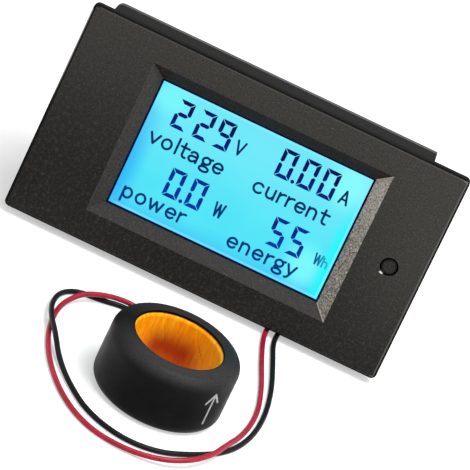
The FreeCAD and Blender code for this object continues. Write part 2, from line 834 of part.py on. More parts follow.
def ct_winding():
    """Layer of fine wire round the core, with a slot at mid height where its ends come out."""
    mid, half, t = ct_height / 2, winding_slot / 2, winding_t
    path = [
        (coil_in, coil_lo), (coil_out, coil_lo), (coil_out, mid - half), (coil_out - t, mid - half),
        (coil_out - t, coil_lo + t), (coil_in + t, coil_lo + t), (coil_in + t, coil_hi - t),
        (coil_out - t, coil_hi - t), (coil_out - t, mid + half), (coil_out, mid + half),
        (coil_out, coil_hi), (coil_in, coil_hi),
    ]
    return turned(path)


def ct_core():
    """Ring core of wound strip."""
    return turned([(core_in, core_lo), (core_out, core_lo), (core_out, core_hi), (core_in, core_hi)])


def ct_grommet():
    """Outlet block with a blind hole for each lead."""
    holes = []
    for side in (-1, 1):
        hole = Part.makeCylinder(lead_r + run, lead_seat, Vec(lead_start, side * lead_pitch / 2, outlet_z),
                                 Vec(1, 0, 0))
        holes.append(at_outlet(hole))
    return outlet_block(0).cut(holes)


# Leads
def outlet_point(distance, side):
    """A point of a lead's straight start, at a distance from the ring's axis."""
    angle = math.radians(outlet_angle)
    x = distance * math.cos(angle) - side * math.sin(angle)
    y = distance * math.sin(angle) + side * math.cos(angle)
    return at(ct_x + x, ct_y + y, outlet_z)


def lead_points(route, side, pole):
    """The whole route of one lead, from its hole in the outlet to its end in the terminal."""
    points = [outlet_point(lead_start, side), outlet_point(lead_start + lead_straight, side)]
    points += [at(*point) for point in route]
    points.append(in_meter(pocket_end + lead_straight, clamp_d, pole_h[pole]))
    points.append(in_meter(pocket_end, clamp_d, pole_h[pole]))
    return points


def save_lead(name, points):
    """Writes one lead, and prints its length, its arcs and how its volume compares with the route's."""
    path, radii = bent_path(points)
    lead = swept(path, lead_d)
    share = lead.Volume / (math.pi * lead_r ** 2 * path.Length)
    print(name, "length", round(path.Length, 1), "radii", radii, "volume share", round(share, 4))
    save(name, lead)


def lead_tip(pole):
    """Tinned end of a lead, pinched in the terminal."""
    start = in_meter(pocket_end - tip_len, clamp_d, pole_h[pole])
    return Part.makeCylinder(tip_d / 2, tip_len, start, Vec(1, 0, 0))


def save_meter(name, shape):
    """Leans a piece of the meter back and writes it."""
    save(name, lean_back(shape))


save_meter("front_case", front_case())
save_meter("rear_cover", rear_cover())
save_meter("rear_label", rear_label())
save_meter("cover_screws", cover_screws())
save_meter("panel_clip_left", snap_tab(-1))
save_meter("panel_clip_right", snap_tab(1))

save_meter("lcd_front_film", plate(window_x, window_h, guide_w, guide_h, front_film_face, glass_face))
save_meter("lcd_glass", plate(window_x, window_h, glass_w, glass_h, glass_face, rear_film_face))
save_meter("lcd_rear_film", plate(window_x, window_h, guide_w, guide_h, rear_film_face, diffuser_face))
save_meter("lcd_pins", lcd_pins())
save_meter("light_diffuser", plate(window_x, window_h, guide_w, guide_h, diffuser_face, guide_face))
save_meter("light_guide", plate(window_x, window_h, guide_w, guide_h, guide_face, reflector_face))
save_meter("light_reflector", plate(window_x, window_h, guide_w, guide_h, reflector_face, reflector_back))
save_meter("backlight_leds", backlight_leds())
save_meter("lcd_holder", lcd_holder())

save_meter("main_board", main_board())
save_meter("button_cap", button_cap())
save_meter("switch_plunger", rod(plunger_d, button_x, stem_back, plunger_back, button_h))
save_meter("switch_body", switch_body())
save_meter("switch_dome", rod(dome_d, button_x, dome_face, dome_face + dome_t, button_h))
save_meter("switch_legs", switch_legs())

save_meter("terminal_body", terminal_body())
save_meter("terminal_strips", terminal_strips())
for number, height in enumerate(pole_h, 1):
    wired = number <= 2
    save_meter(f"terminal_clamp_{number}", terminal_clamp(height, 0 if wired else clamp_open))
    save_meter(f"terminal_screw_{number}", terminal_screw(height))

film_capacitor_block = film_capacitor_size + (tall_part_t,)
save_meter("film_capacitor", standing_block(film_capacitor_block, by_post(film_capacitor_from_post)))
save_meter("bulk_capacitor", standing_can((bulk_capacitor_d, tall_part_t), by_post(bulk_capacitor_from_post)))
save_meter("varistor", standing_block(varistor_size, varistor_place))
save_meter("fuse_resistor", lying_rod(fuse_size, by_block(fuse_from_block)))
save_meter("rectifier_diodes", rectifier_diodes())
save_meter("metering_chip", legged_chip(metering_size, by_block(metering_from_block), metering_legs))
save_meter("controller_chip", legged_chip(controller_size, controller_place, controller_legs))
save_meter("memory_chip", legged_chip(memory_size, memory_place, memory_legs))
save_meter("crystal", standing_block(crystal_size, by_block(crystal_from_block)))
save_meter("resistors", chip_parts())

save("ct_jacket", ct_jacket())
save("ct_tape_wrap", ct_tape_wrap())
save("ct_winding", ct_winding())
save("ct_core", ct_core())
save("ct_grommet", ct_grommet())

save_lead("lead_red", lead_points(red_route, -lead_pitch / 2, 1))
save_lead("lead_black", lead_points(black_route, lead_pitch / 2, 0))
save("lead_tip_red", lead_tip(1))
save("lead_tip_black", lead_tip(0))
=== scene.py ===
"""Looks for a panel meter with a lit display and a ring current transformer on two leads.

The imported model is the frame, in metres. Places on the meter are given upright, in millimetres: x to
the right, `back` from the panel's face and `up` from its lower edge. They are then leaned back as the
meter leans on its rear edge. The ring lies flat in front, and the leads run under the housing. Colours
are given as read off a screen, 0 to 255, unless a comment says otherwise.
"""
import bmesh
import bpy
import math
import numpy as np
from mathutils import Matrix


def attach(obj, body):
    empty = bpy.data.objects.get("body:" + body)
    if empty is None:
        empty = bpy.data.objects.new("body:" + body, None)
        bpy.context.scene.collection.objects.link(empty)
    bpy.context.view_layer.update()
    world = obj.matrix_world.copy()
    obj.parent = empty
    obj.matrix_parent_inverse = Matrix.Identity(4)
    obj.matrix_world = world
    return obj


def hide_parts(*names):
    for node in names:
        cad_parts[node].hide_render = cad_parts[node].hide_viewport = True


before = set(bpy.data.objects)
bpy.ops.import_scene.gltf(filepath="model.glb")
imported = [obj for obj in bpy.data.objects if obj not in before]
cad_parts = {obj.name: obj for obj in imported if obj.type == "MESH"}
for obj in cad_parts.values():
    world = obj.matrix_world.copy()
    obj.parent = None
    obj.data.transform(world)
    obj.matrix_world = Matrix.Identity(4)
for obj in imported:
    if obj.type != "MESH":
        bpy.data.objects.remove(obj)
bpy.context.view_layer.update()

# Camera
# It looks down at 28 degrees from the front with a long lens, and is turned about its own line of
# sight, so that the panel's long side runs down to the right as it does in the photograph.
rise = math.radians(28.0)
turn = math.radians(25.474)
eye_distance = 1.0
back_to_eye = np.array([0.0, -math.cos(rise), math.sin(rise)])
along_table = np.array([1.0, 0.0, 0.0])
over_table = np.array([0.0, math.sin(rise), math.cos(rise)])
picture_right = math.cos(turn) * along_table + math.sin(turn) * over_table
picture_up = math.cos(turn) * over_table - math.sin(turn) * along_table
meter_middle = np.array([0.0, 0.01684, 0.025])
framing = (0.00041, -0.00809)
aim = meter_middle + framing[0] * picture_right + framing[1] * picture_up


def stand(name, data, right, up, back, where):
    """Puts a camera or a lamp into the scene by its own three axes and its place."""
    made = bpy.data.objects.new(name, data)
    axes = np.column_stack([right, up, back, where])
    made.matrix_world = Matrix(np.vstack([axes, [0.0, 0.0, 0.0, 1.0]]).tolist())
    bpy.context.scene.collection.objects.link(made)
    return made


camera_data = bpy.data.cameras.new("camera")
camera_data.lens = 352.0
camera_data.sensor_width = 36.0
bpy.context.scene.camera = stand("camera", camera_data, picture_right, picture_up, back_to_eye,
                                 aim + eye_distance * back_to_eye)
bpy.context.scene.view_settings.view_transform = "Standard"

# Leads
# Two limp hook-up wires of 1.2 mm with smooth PVC insulation, one red and one black. They come out of
# the ring's outlet, swing round the ring and go under the housing and up into the first two terminals.
lean = math.radians(11.98867)
front_edge = np.array([0.0, 11.8432, 1.7693])
lead_width = 0.0012
ring_middle = np.array([2.9, -43.3])
outlet_turn = math.radians(104.0)
outlet_height = 3.2
outlet_run = (14.2, 18.2)
entry_x = (38.0, 34.0)
entry_back = 14.1
terminal_up = (13.57, 21.19, 28.81, 36.43)


def leaned(x, back, up):
    """Turns places on the upright meter, in millimetres, into the row frame in metres: back and up are
    turned about the panel's lower front edge by the lean, and that edge's own place is added."""
    x, back, up = np.broadcast_arrays(np.asarray(x, float), back, up)
    y = back * math.cos(lean) + up * math.sin(lean) + front_edge[1]
    z = up * math.cos(lean) - back * math.sin(lean) + front_edge[2]
    return np.stack([x, y, z], axis=-1) * 0.001


def new_material(name, rough, shine=0.5, metal=0.0, coat=0.0, clear=0.0):
    """A named material and its shader; the values are the same all over, so they sit on its sockets."""
    material = bpy.data.materials.new(name)
    material.use_nodes = True
    shader = material.node_tree.nodes["Principled BSDF"]
    shader.inputs["Roughness"].default_value = rough
    shader.inputs["Specular IOR Level"].default_value = shine
    shader.inputs["Metallic"].default_value = metal
    shader.inputs["Coat Weight"].default_value = coat
    shader.inputs["Coat Roughness"].default_value = 0.12
    shader.inputs["Transmission Weight"].default_value = clear
    return material, shader


def node(beside, kind, links=(), values=(), **settings):
    """Adds a node to the tree that a node or a socket is in. links gives (its input, output of another
    node) pairs, values gives (its input, number) pairs, and settings are its properties."""
    tree = beside.id_data
    added = tree.nodes.new(kind)
    for key, value in settings.items():
        setattr(added, key, value)
    for socket, value in values:
        added.inputs[socket].default_value = value
    for socket, output in links:
        tree.links.new(output, added.inputs[socket])
    return added


def feed(shader, socket, output):
    """Lets a pattern or a tone drive one of the shader's sockets."""
    shader.id_data.links.new(output, shader.inputs[socket])


def place(shader, stretch=(1.0, 1.0, 1.0), moved=(0.0, 0.0, 0.0)):
    """The piece's own coordinates, stretched and moved."""
    own = node(shader, "ShaderNodeTexCoord").outputs["Object"]
    values = [("Scale", stretch), ("Location", moved)]
    return node(shader, "ShaderNodeMapping", [("Vector", own)], values).outputs["Vector"]


def noise(where, size, detail=3.0, rough=0.55):
    """Clouded noise whose blots are about `size` across, in the coordinates' own measure."""
    values = [("Scale", 1.0 / size), ("Detail", detail), ("Roughness", rough)]
    return node(where, "ShaderNodeTexNoise", [("Vector", where)], values).outputs["Fac"]


def linear(colour):
    """A colour read off a screen as the light it stands for."""
    screen = np.array(colour) / 255.0
    light = np.where(screen <= 0.04045, screen / 12.92, ((screen + 0.055) / 1.055) ** 2.4)
    return (*light.tolist(), 1.0)


def shades(factor, *stops):
    """Colours between stops of (position, colour), chosen by the factor."""
    ramp = node(factor, "ShaderNodeValToRGB", [("Fac", factor)])
    while len(ramp.color_ramp.elements) < len(stops):
        ramp.color_ramp.elements.new(0.5)
    for element, (position, colour) in zip(ramp.color_ramp.elements, stops):
        element.position = position
        element.color = linear(colour)
    return ramp.outputs["Color"]


def grain(shader, *layers):
    """Bumps the surface with layers of (height pattern, height in metres), one on another."""
    normal = None
    for pattern, height in layers:
        links = [("Height", pattern)] + ([("Normal", normal)] if normal else [])
        bump = node(shader, "ShaderNodeBump", links, [("Distance", height), ("Strength", 1.0)])
        normal = bump.outputs["Normal"]
    feed(shader, "Normal", normal)


def ranged(value, start, end, low, high, **kind):
    """low where a value is at start and high where it is at end, in a straight line between them unless
    the kind says otherwise, and level beyond them."""
    values = [("From Min", start), ("From Max", end), ("To Min", low), ("To Max", high)]
    return node(value, "ShaderNodeMapRange", [("Value", value)], values, **kind).outputs["Result"]


def gloss(shader, pattern, low, high):
    """Roughness that wanders between low and high with the pattern."""
    feed(shader, "Roughness", ranged(pattern, 0.3, 0.7, low, high))


def tint(shader, tone):
    """Gives the shader its base colour."""
    feed(shader, "Base Color", tone)


def moulded(name, dark, light, blot, grain_size, grain_height, rough, **kind):
    """The finish of a moulded or dipped piece: two near colours in soft blots, with a fine grain."""
    material, shader = new_material(name, rough, **kind)
    where = place(shader)
    fine = noise(where, grain_size, 2.0)
    tint(shader, shades(noise(where, blot), (0.35, dark), (0.65, light)))
    gloss(shader, fine, rough - 0.06, rough + 0.06)
    grain(shader, (fine, grain_height))
    return material


def dress(material, *names):
    """Gives a material to CAD nodes, through their own material slots."""
    for name in names:
        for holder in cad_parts[name].material_slots:
            holder.material = material


def out_of_ring(distance, side):
    """A point in the outlet: a distance from the ring's axis along the outlet's direction, and a step
    to the side of it, from the panel's lower front edge in millimetres."""
    x = distance * math.cos(outlet_turn) - side * math.sin(outlet_turn)
    y = distance * math.sin(outlet_turn) + side * math.cos(outlet_turn)
    return (ring_middle[0] + x, ring_middle[1] + y, outlet_height)


def lead(colour, route, side, pole_up, material):
    """One lead as a smooth line drawn by its route's points, from the ring's outlet to its terminal."""
    table = np.array([out_of_ring(distance, side) for distance in outlet_run] + route)
    table = (table + [0.0, front_edge[1], 0.0]) * 0.001
    points = np.concatenate([table, leaned(entry_x, entry_back, pole_up)])
    curve = bpy.data.curves.new(f"{colour}_lead", "CURVE")
    curve.dimensions = "3D"
    spline = curve.splines.new("NURBS")
    spline.points.add(len(points) - 1)
    spline.points.foreach_set("co", np.column_stack([points, np.ones(len(points))]).ravel())
    spline.order_u = 3
    spline.use_endpoint_u = True
    spline.resolution_u = 10
    curve.bevel_depth = lead_width / 2
    curve.bevel_resolution = 6
    curve.use_fill_caps = True
    curve.materials.append(material)
    piece = bpy.data.objects.new(curve.name, curve)
    bpy.context.scene.collection.objects.link(piece)
    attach(piece, "housing")
    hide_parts(f"lead_{colour}")


red_route = [
    (-2.1, -20.2, 1.4), (-4.2, -16.6, 0.75), (-8.4, -14.3, 1.0), (-13.0, -16.1, 1.9),
    (-17.0, -18.8, 2.3), (-20.4, -21.9, 2.3), (-23.3, -26.8, 1.0), (-23.7, -33.8, 0.6),
    (-22.6, -42.4, 0.6), (-19.2, -52.4, 0.6), (-13.6, -62.0, 0.6), (-6.6, -68.2, 0.6),
    (1.6, -70.0, 0.7), (9.4, -69.4, 1.5), (15.4, -66.0, 2.35), (19.3, -59.8, 2.35),
    (21.2, -52.9, 2.0), (23.6, -43.6, 0.6), (24.6, -33.4, 0.6), (23.2, -22.4, 0.6),
    (20.7, -11.4, 0.6), (18.8, -0.6, 0.6), (19.5, 7.6, 0.6), (23.8, 13.6, 0.6),
    (30.4, 15.7, 0.6), (35.2, 15.4, 0.6), (39.4, 15.6, 1.8), (41.6, 16.5, 5.9),
    (41.9, 18.0, 11.0), (41.2, 18.9, 16.3),
]
black_route = [
    (-4.0, -21.9, 1.5), (-6.3, -17.7, 0.7), (-10.8, -15.9, 0.6), (-16.4, -17.9, 0.6),
    (-21.5, -18.5, 0.6), (-24.8, -22.2, 0.6), (-25.3, -29.4, 1.5), (-24.0, -35.8, 2.2),
    (-21.4, -41.8, 2.2), (-18.6, -48.0, 1.0), (-14.4, -55.0, 0.6), (-8.2, -62.6, 0.6),
    (0.4, -66.4, 0.6), (8.6, -65.4, 0.6), (15.4, -60.4, 0.6), (21.8, -53.6, 0.6),
    (25.2, -44.6, 0.6), (26.3, -33.6, 0.6), (25.4, -21.6, 0.6), (23.3, -10.6, 0.6),
    (21.2, -0.8, 0.6), (22.4, 7.2, 0.6), (27.0, 12.4, 0.6), (32.0, 13.7, 0.6),
    (36.2, 13.7, 0.6), (39.8, 14.1, 2.2), (41.4, 15.1, 5.9), (40.9, 16.2, 9.6),
]
red_pvc = moulded("red_insulation", (142, 13, 38), (164, 22, 50), 0.004, 0.0004, 0.00001, 0.36, shine=0.25)
black_pvc = moulded("black_insulation", (14, 14, 15), (24, 24, 25), 0.004, 0.0004, 0.00001, 0.38, shine=0.1)
lead("red", red_route, -0.8, terminal_up[1], red_pvc)
lead("black", black_route, 0.8, terminal_up[0], black_pvc)

# Lead ends
# The stripped ends of the leads, fine copper strands twisted and tinned, gripped in the terminals.
strands, strands_shader = new_material("tinned_strands", 0.32, metal=1.0)
twist = noise(place(strands_shader, stretch=(1.0, 6.0, 6.0)), 0.0009, 2.0)
tint(strands_shader, shades(twist, (0.35, (150, 148, 140)), (0.7, (214, 212, 204))))
grain(strands_shader, (twist, 0.00006))
dress(strands, "lead_tip_red", "lead_tip_black")

# Floor and light
# A plain pale table top under a soft white sky, with one large lamp from above and two small ones. The
# camera sees the floor and the sky as white, and the floor keeps the shadow. Colours are as light here.
floor_size = 3.0
floor_drop = 0.00002
square = np.array([(-1, -1), (1, -1), (1, 1), (-1, 1)])
floor_mesh = bpy.data.meshes.new("floor")
floor_corners = (square * floor_size).tolist()
floor_mesh.from_pydata([(x, y, -floor_drop) for x, y in floor_corners], [], [(0, 1, 2, 3)])
floor = bpy.data.objects.new("floor", floor_mesh)
bpy.context.scene.collection.objects.link(floor)


def worked(operation, *given):
    """One sum on patterns and numbers, at least one of them a pattern."""
    numbers = [(slot, value) for slot, value in enumerate(given) if isinstance(value, float)]
    patterns = [(slot, value) for slot, value in enumerate(given) if not isinstance(value, float)]
    return node(patterns[0][1], "ShaderNodeMath", patterns, numbers, operation=operation).outputs[0]


def seen_white(beside):
    """1 for what the camera sees, straight or in a gloss or through glass, and 0 for lighting."""
    rays = node(beside, "ShaderNodeLightPath").outputs
    in_gloss = worked("MAXIMUM", rays["Is Camera Ray"], rays["Is Glossy Ray"])
    return worked("MAXIMUM", in_gloss, rays["Is Transmission Ray"])


def from_middle(where):
    """How far a place is from the middle of its coordinates."""
    return node(where, "ShaderNodeVectorMath", [("Vector", where)], operation="LENGTH").outputs["Value"]


floor_look, floor_shader = new_material("pale_floor", 0.9, shine=0.0)
floor_shader.inputs["Base Color"].default_value = (0.62, 0.62, 0.62, 1.0)
floor_shader.inputs["Emission Color"].default_value = (1.0, 1.0, 1.0, 1.0)
floor_glow = ranged(from_middle(place(floor_shader)), 0.25, 0.7, 0.45, 1.0)
feed(floor_shader, "Emission Strength", worked("MULTIPLY", seen_white(floor_shader), floor_glow))
floor_mesh.materials.append(floor_look)

sky = bpy.data.worlds.new("sky")
sky.use_nodes = True
bpy.context.scene.world = sky
sky_light = sky.node_tree.nodes["Background"]
sky_light.inputs["Color"].default_value = (1.0, 1.0, 1.0, 1.0)
sky_level = 0.54
feed(sky_light, "Strength", worked("MULTIPLY_ADD", seen_white(sky_light), 1.0 - sky_level, sky_level))


def lamp(name, where, toward, size, power):
    """A square soft lamp that looks from one point to another."""
    data = bpy.data.lights.new(name, "AREA")
    data.shape = "SQUARE"
    data.size = size
    data.energy = power
    look = np.array(where) - np.array(toward)
    look = look / np.linalg.norm(look)
    side = np.cross([0.0, 0.0, 1.0], look)
    side = side / np.linalg.norm(side)
    stand(name, data, side, np.cross(look, side), look, where)


lamp("top_lamp", where=(0.2, -0.1, 0.75), toward=(0.0, 0.0, 0.02), size=0.4, power=6.2)
lamp("front_lamp", where=(0.24, -0.24, 0.28), toward=(0.02, 0.0, 0.03), size=0.14, power=0.36)
lamp("side_lamp", where=(-0.85, -0.38, 0.06), toward=(0.0, 0.0, 0.01), size=0.1, power=1.1)

# Ring jacket
# The black shell of the current transformer, moulded in satin plastic with a broad round upper edge
# and open at the bore. It is turned from one closed profile of (radius, height, roundness) corners.
ring_place = ring_middle + front_edge[:2]
to_axis = (-ring_place[0] * 0.001, -ring_place[1] * 0.001, 0.0)
ring_radius = 14.5
ring_height = 14.5
rim_radius = 10.0
shell = 1.1
lip_thick = 0.42
lip_inner = 10.95
lip_outer = 11.8
jacket_corners = [
    (rim_radius, 0.0, 0.15), (ring_radius, 0.0, 2.3), (ring_radius, ring_height, 2.5),
    (rim_radius, ring_height, 0.16), (rim_radius, ring_height - lip_thick, 0.1),
    (lip_inner, ring_height - lip_thick, 0.15), (lip_outer, ring_height - shell, 0.3),
    (ring_radius - shell, ring_height - shell, 0.4), (ring_radius - shell, shell, 0.4),
    (lip_outer, shell, 0.3), (lip_inner, lip_thick, 0.15), (rim_radius, lip_thick, 0.1),
]


def rounded(corners, steps=8, hold=0.06):
    """A closed outline of straight sides with a circular arc at each corner. A corner's arc touches its
    two sides at the radius over the tangent of half the angle between them, and a point a little
    further along each side holds the flat part flat."""
    table = np.array(corners, float)
    corner, radius = table[:, :2], table[:, 2:]
    to_last = np.roll(corner, 1, axis=0) - corner
    to_next = np.roll(corner, -1, axis=0) - corner
    to_last /= np.linalg.norm(to_last, axis=1, keepdims=True)
    to_next /= np.linalg.norm(to_next, axis=1, keepdims=True)
    half = np.arccos(np.clip((to_last * to_next).sum(1, keepdims=True), -1, 1)) / 2
    reach = radius / np.tan(half)
    middle = to_last + to_next
    middle = corner + middle / np.linalg.norm(middle, axis=1, keepdims=True) * radius / np.sin(half)
    begin = corner + to_last * reach - middle
    end = corner + to_next * reach - middle
    sweep = (np.pi - 2 * half)[:, None]
    t = np.linspace(0, 1, steps + 1)[None, :, None]
    arc = (np.sin((1 - t) * sweep) * begin[:, None] + np.sin(t * sweep) * end[:, None]) / np.sin(sweep)
    arc = arc + middle[:, None]
    before = (corner + to_last * (reach + hold))[:, None]
    after = (corner + to_next * (reach + hold))[:, None]
    return np.concatenate([before, arc, after], axis=1).reshape(-1, 2)


def grid_mesh(name, points, material, closed_ends=True, smooth=True):
    """A mesh from a grid of points: each is joined to its neighbours along both parameters. The second
    parameter always closes on itself; the first closes too, or its ends get flat caps."""
    rows, columns = points.shape[:2]
    runs = rows if closed_ends else rows - 1
    i, j = np.meshgrid(np.arange(runs), np.arange(columns), indexing="ij")
    i, j = i.ravel(), j.ravel()
    up, over = (i + 1) % rows, (j + 1) % columns
    faces = np.stack([i * columns + j, up * columns + j, up * columns + over, i * columns + over], axis=1)
    faces = faces.tolist()
    if not closed_ends:
        faces.append(list(range(columns)))
        faces.append(list(range(rows * columns - 1, (rows - 1) * columns - 1, -1)))
    mesh = bpy.data.meshes.new(name)
    mesh.from_pydata(points.reshape(-1, 3).tolist(), [], faces)
    mesh.materials.append(material)
    mesh.polygons.foreach_set("use_smooth", np.full(len(faces), smooth))
    return mesh


def outward(mesh):
    """Turns the faces of a closed mesh outwards."""
    shape = bmesh.new()
    shape.from_mesh(mesh)
    bmesh.ops.recalc_face_normals(shape, faces=shape.faces)
    shape.to_mesh(mesh)
    shape.free()
    return mesh


def add_piece(mesh, slot, *replaced):
    """Puts a mesh into the scene as a piece that rides on the housing and may stand for CAD nodes."""
    piece = bpy.data.objects.new(mesh.name, outward(mesh))
    bpy.context.scene.collection.objects.link(piece)
    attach(piece, "housing")
    if replaced:
        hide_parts(*replaced)


def turned_about_ring(profile, columns, proud=0.0):
    """Carries a profile of (radius, height) once round the ring's axis, each point as far outside it as
    proud says."""
    angle = np.linspace(0, 2 * np.pi, columns, endpoint=False)[:, None]
    radius, height = profile[None, :, 0] + proud, profile[None, :, 1]
    x = ring_place[0] + radius * np.cos(angle)
    y = ring_place[1] + radius * np.sin(angle)
    return np.stack([x, y, height + 0 * angle], axis=-1) * 0.001


def parts(where):
    """The three measures of a place, each on its own."""
    return node(where, "ShaderNodeSeparateXYZ", [("Vector", where)]).outputs[:]


def fade(value, start, end, most=1.0):
    """0 at start and `most` at end, smooth between them."""
    return ranged(value, start, end, 0.0, most, interpolation_type="SMOOTHSTEP")


def product(first, *others):
    """Patterns multiplied together."""
    for pattern in others:
        first = worked("MULTIPLY", first, pattern)
    return first


def layered(tone, *layers):
    """A tone with others laid over it in turn, each as (weight, tone). A tone is another node's output
    or a plain colour."""
    for weight, over in layers:
        mix = node(weight, "ShaderNodeMix", [("Factor", weight)], data_type="RGBA")
        for socket, given in (("A", tone), ("B", over)):
            if isinstance(given, tuple):
                mix.inputs[socket].default_value = linear(given)
            else:
                feed(mix, socket, given)
        tone = mix.outputs["Result"]
    return tone


jacket_look, jacket_shader = new_material("satin_jacket", 0.42, shine=0.06)
jacket_where = place(jacket_shader)
jacket_x, jacket_y, jacket_up = parts(jacket_where)
jacket_soft = noise(jacket_where, 0.006)
jacket_fine = noise(jacket_where, 0.0005)
jacket_side = worked("SUBTRACT", jacket_x, worked("MULTIPLY", jacket_y, 2.0))
# Painted light: the ring's top face is painted lighter toward the front, where the light falls on it.
painted_top_light = product(fade(jacket_up, 0.0112, 0.0138, 0.75), fade(jacket_side, 0.052, 0.092))
# Painted sheen: the back of the ring's top is painted lighter, as a reflection on it.
painted_back_rim_sheen = product(fade(jacket_up, 0.0118, 0.0138, 0.6), fade(jacket_y, -0.032, -0.02))
# Painted sheen: the ring's left side, below the top, is painted lighter as a sheen.
painted_left_sheen = product(fade(jacket_x, -0.002, -0.010, 0.8), fade(jacket_up, 0.0128, 0.0105))
from_axis = from_middle(place(jacket_shader, stretch=(1.0, 1.0, 0.0), moved=to_axis))
tint(jacket_shader, layered(
    shades(jacket_soft, (0.3, (12, 12, 13)), (0.7, (20, 20, 21))),
    (painted_top_light, (54, 53, 53)),
    (painted_back_rim_sheen, (52, 49, 50)),
    (painted_left_sheen, (38, 38, 39)),
    (fade(jacket_fine, 0.5, 0.32, 0.4), (8, 8, 8)),
    # Painted shade: a thin ring at the bore's rim is painted near black, as the shadow in the gap between
    # the rim and the tape.
    (fade(from_axis, 0.0104, 0.0101), (3, 3, 3)),
))
dull_top = product(fade(jacket_up, 0.0118, 0.0138, 0.9), fade(jacket_side, 0.068, 0.052))
satin = worked("ADD", fade(jacket_soft, 0.3, 0.7, 0.14), 0.34)
feed(jacket_shader, "Roughness", worked("MAXIMUM", dull_top, satin))
grain(jacket_shader, (jacket_fine, 0.00002), (jacket_soft, 0.00006))
jacket_grid = turned_about_ring(rounded(jacket_corners), 192)
add_piece(grid_mesh("ring_jacket", jacket_grid, jacket_look), "jacket_plastic", "ct_jacket")
dress(jacket_look, "ct_grommet")

# Tape in the bore
# Orange polyester tape, wound through the bore and over both ends of the winding. Each turn laps over
# the last a little askew, so the bore is lined with slanting strips and their edges.
bore_radius = 9.6
tape_low = 0.5
tape_high = 14.0
tape_step = 0.65
tape_layer = 0.45
tape_flat = 10.9
tape_shoulder = 11.7
tape_out = 13.35
tape_turns = 19
tape_columns = 380
lining_rows = 24
lining_inset = 1.1
lining_depth = 0.4
lap_rise = 0.11
crinkle_rise = 0.012
tape_foot = [
    (bore_radius, tape_low, 0.9), (tape_flat, tape_low, 0.2), (tape_shoulder, tape_low + tape_step, 0.3),
    (tape_out, tape_low + tape_step, 0.1), (tape_out, tape_low + tape_step + tape_layer, 0.1),
    (bore_radius + tape_layer, tape_low + tape_step + tape_layer, 0.15),
]
tape_top = [(radius, tape_low + tape_high - up, bend) for radius, up, bend in tape_foot[::-1]]
lining = np.linspace(tape_high - lining_inset, tape_low + lining_inset, lining_rows)
tape_outline = np.concatenate([rounded(tape_foot + tape_top, steps=9),
                               np.column_stack([np.full(lining_rows, bore_radius), lining])])


def lap(angle, height):
    """How far across its strip a point lies, 0 to 1: the turn number at its angle, uneven by two slow
    waves and slanted by its height, less the whole turns."""
    uneven = 0.32 * np.sin(3 * angle + 0.7) + 0.21 * np.sin(7 * angle + 2.1)
    return (angle * tape_turns / (2 * np.pi) + uneven - 0.11 * height) % 1.0


tape_angle = np.linspace(0, 2 * np.pi, tape_columns, endpoint=False)[:, None]
tape_radius, tape_up = tape_outline[None, :, 0], tape_outline[None, :, 1]
across = lap(tape_angle, tape_up)
# Crinkles are fine waves round the bore that come and go up its height. Laps and crinkles raise only
# the lining's own face, and die away a short way behind it.
crinkle = np.sin(41 * tape_angle + 1.7 * tape_up) * np.sin(2.1 * tape_up)
near_bore = np.clip((bore_radius + lining_depth - tape_radius) / lining_depth, 0, 1)
tape_proud = near_bore * (lap_rise * across + crinkle_rise * crinkle)
tape_look, tape_shader = new_material("orange_tape", 0.34, shine=0.08)
tape_where = place(tape_shader)
tape_x, _, tape_height = parts(tape_where)
tape_across = node(tape_shader, "ShaderNodeAttribute", attribute_name="lap").outputs["Fac"]
tape_streak = noise(place(tape_shader, stretch=(1.0, 1.0, 0.12)), 0.0007, 4.0)
tape_soft = noise(tape_where, 0.004, 2.0)
# Painted shade: the middle of the bore, low down, is painted dark brown where the bore lies in shade.
painted_bore_shade = product(fade(tape_x, 0.0115, 0.004), fade(tape_x, -0.0058, -0.0012, 0.95),
                      fade(tape_height, 0.0128, 0.0062))
tape_body = layered(
    shades(tape_streak, (0.3, (250, 142, 4)), (0.5, (255, 168, 14)), (0.7, (255, 196, 44))),
    (painted_bore_shade, (158, 42, 0)),
    # Painted shade and light: toward the foot of the bore the tone turns mid orange, lighter than the
    # painted shade above it and darker than the tape's own colour.
    (fade(tape_height, 0.0062, 0.002, 0.6), (222, 112, 4)),
    # Painted light: the bore's right side is painted brighter and yellower.
    (fade(tape_x, 0.0075, 0.0115, 0.6), (255, 208, 60)),
)
tape_edge = shades(tape_across, (0.0, (255, 214, 150)), (0.05, (255, 255, 255)), (0.88, (255, 250, 244)),
                   (1.0, (214, 166, 130)))
tape_tone = node(tape_shader, "ShaderNodeMix", [("A", tape_body), ("B", tape_edge)], [("Factor", 1.0)],
                 data_type="RGBA", blend_type="MULTIPLY")
tint(tape_shader, tape_tone.outputs["Result"])
gloss(tape_shader, tape_soft, 0.2, 0.4)
grain(tape_shader, (tape_soft, 0.00012), (tape_streak, 0.00003))
tape_mesh = grid_mesh("bore_tape", turned_about_ring(tape_outline, tape_columns, tape_proud), tape_look)
tape_mesh.attributes.new("lap", "FLOAT", "POINT").data.foreach_set("value", across.ravel())
add_piece(tape_mesh, "orange_tape", "ct_tape_wrap")

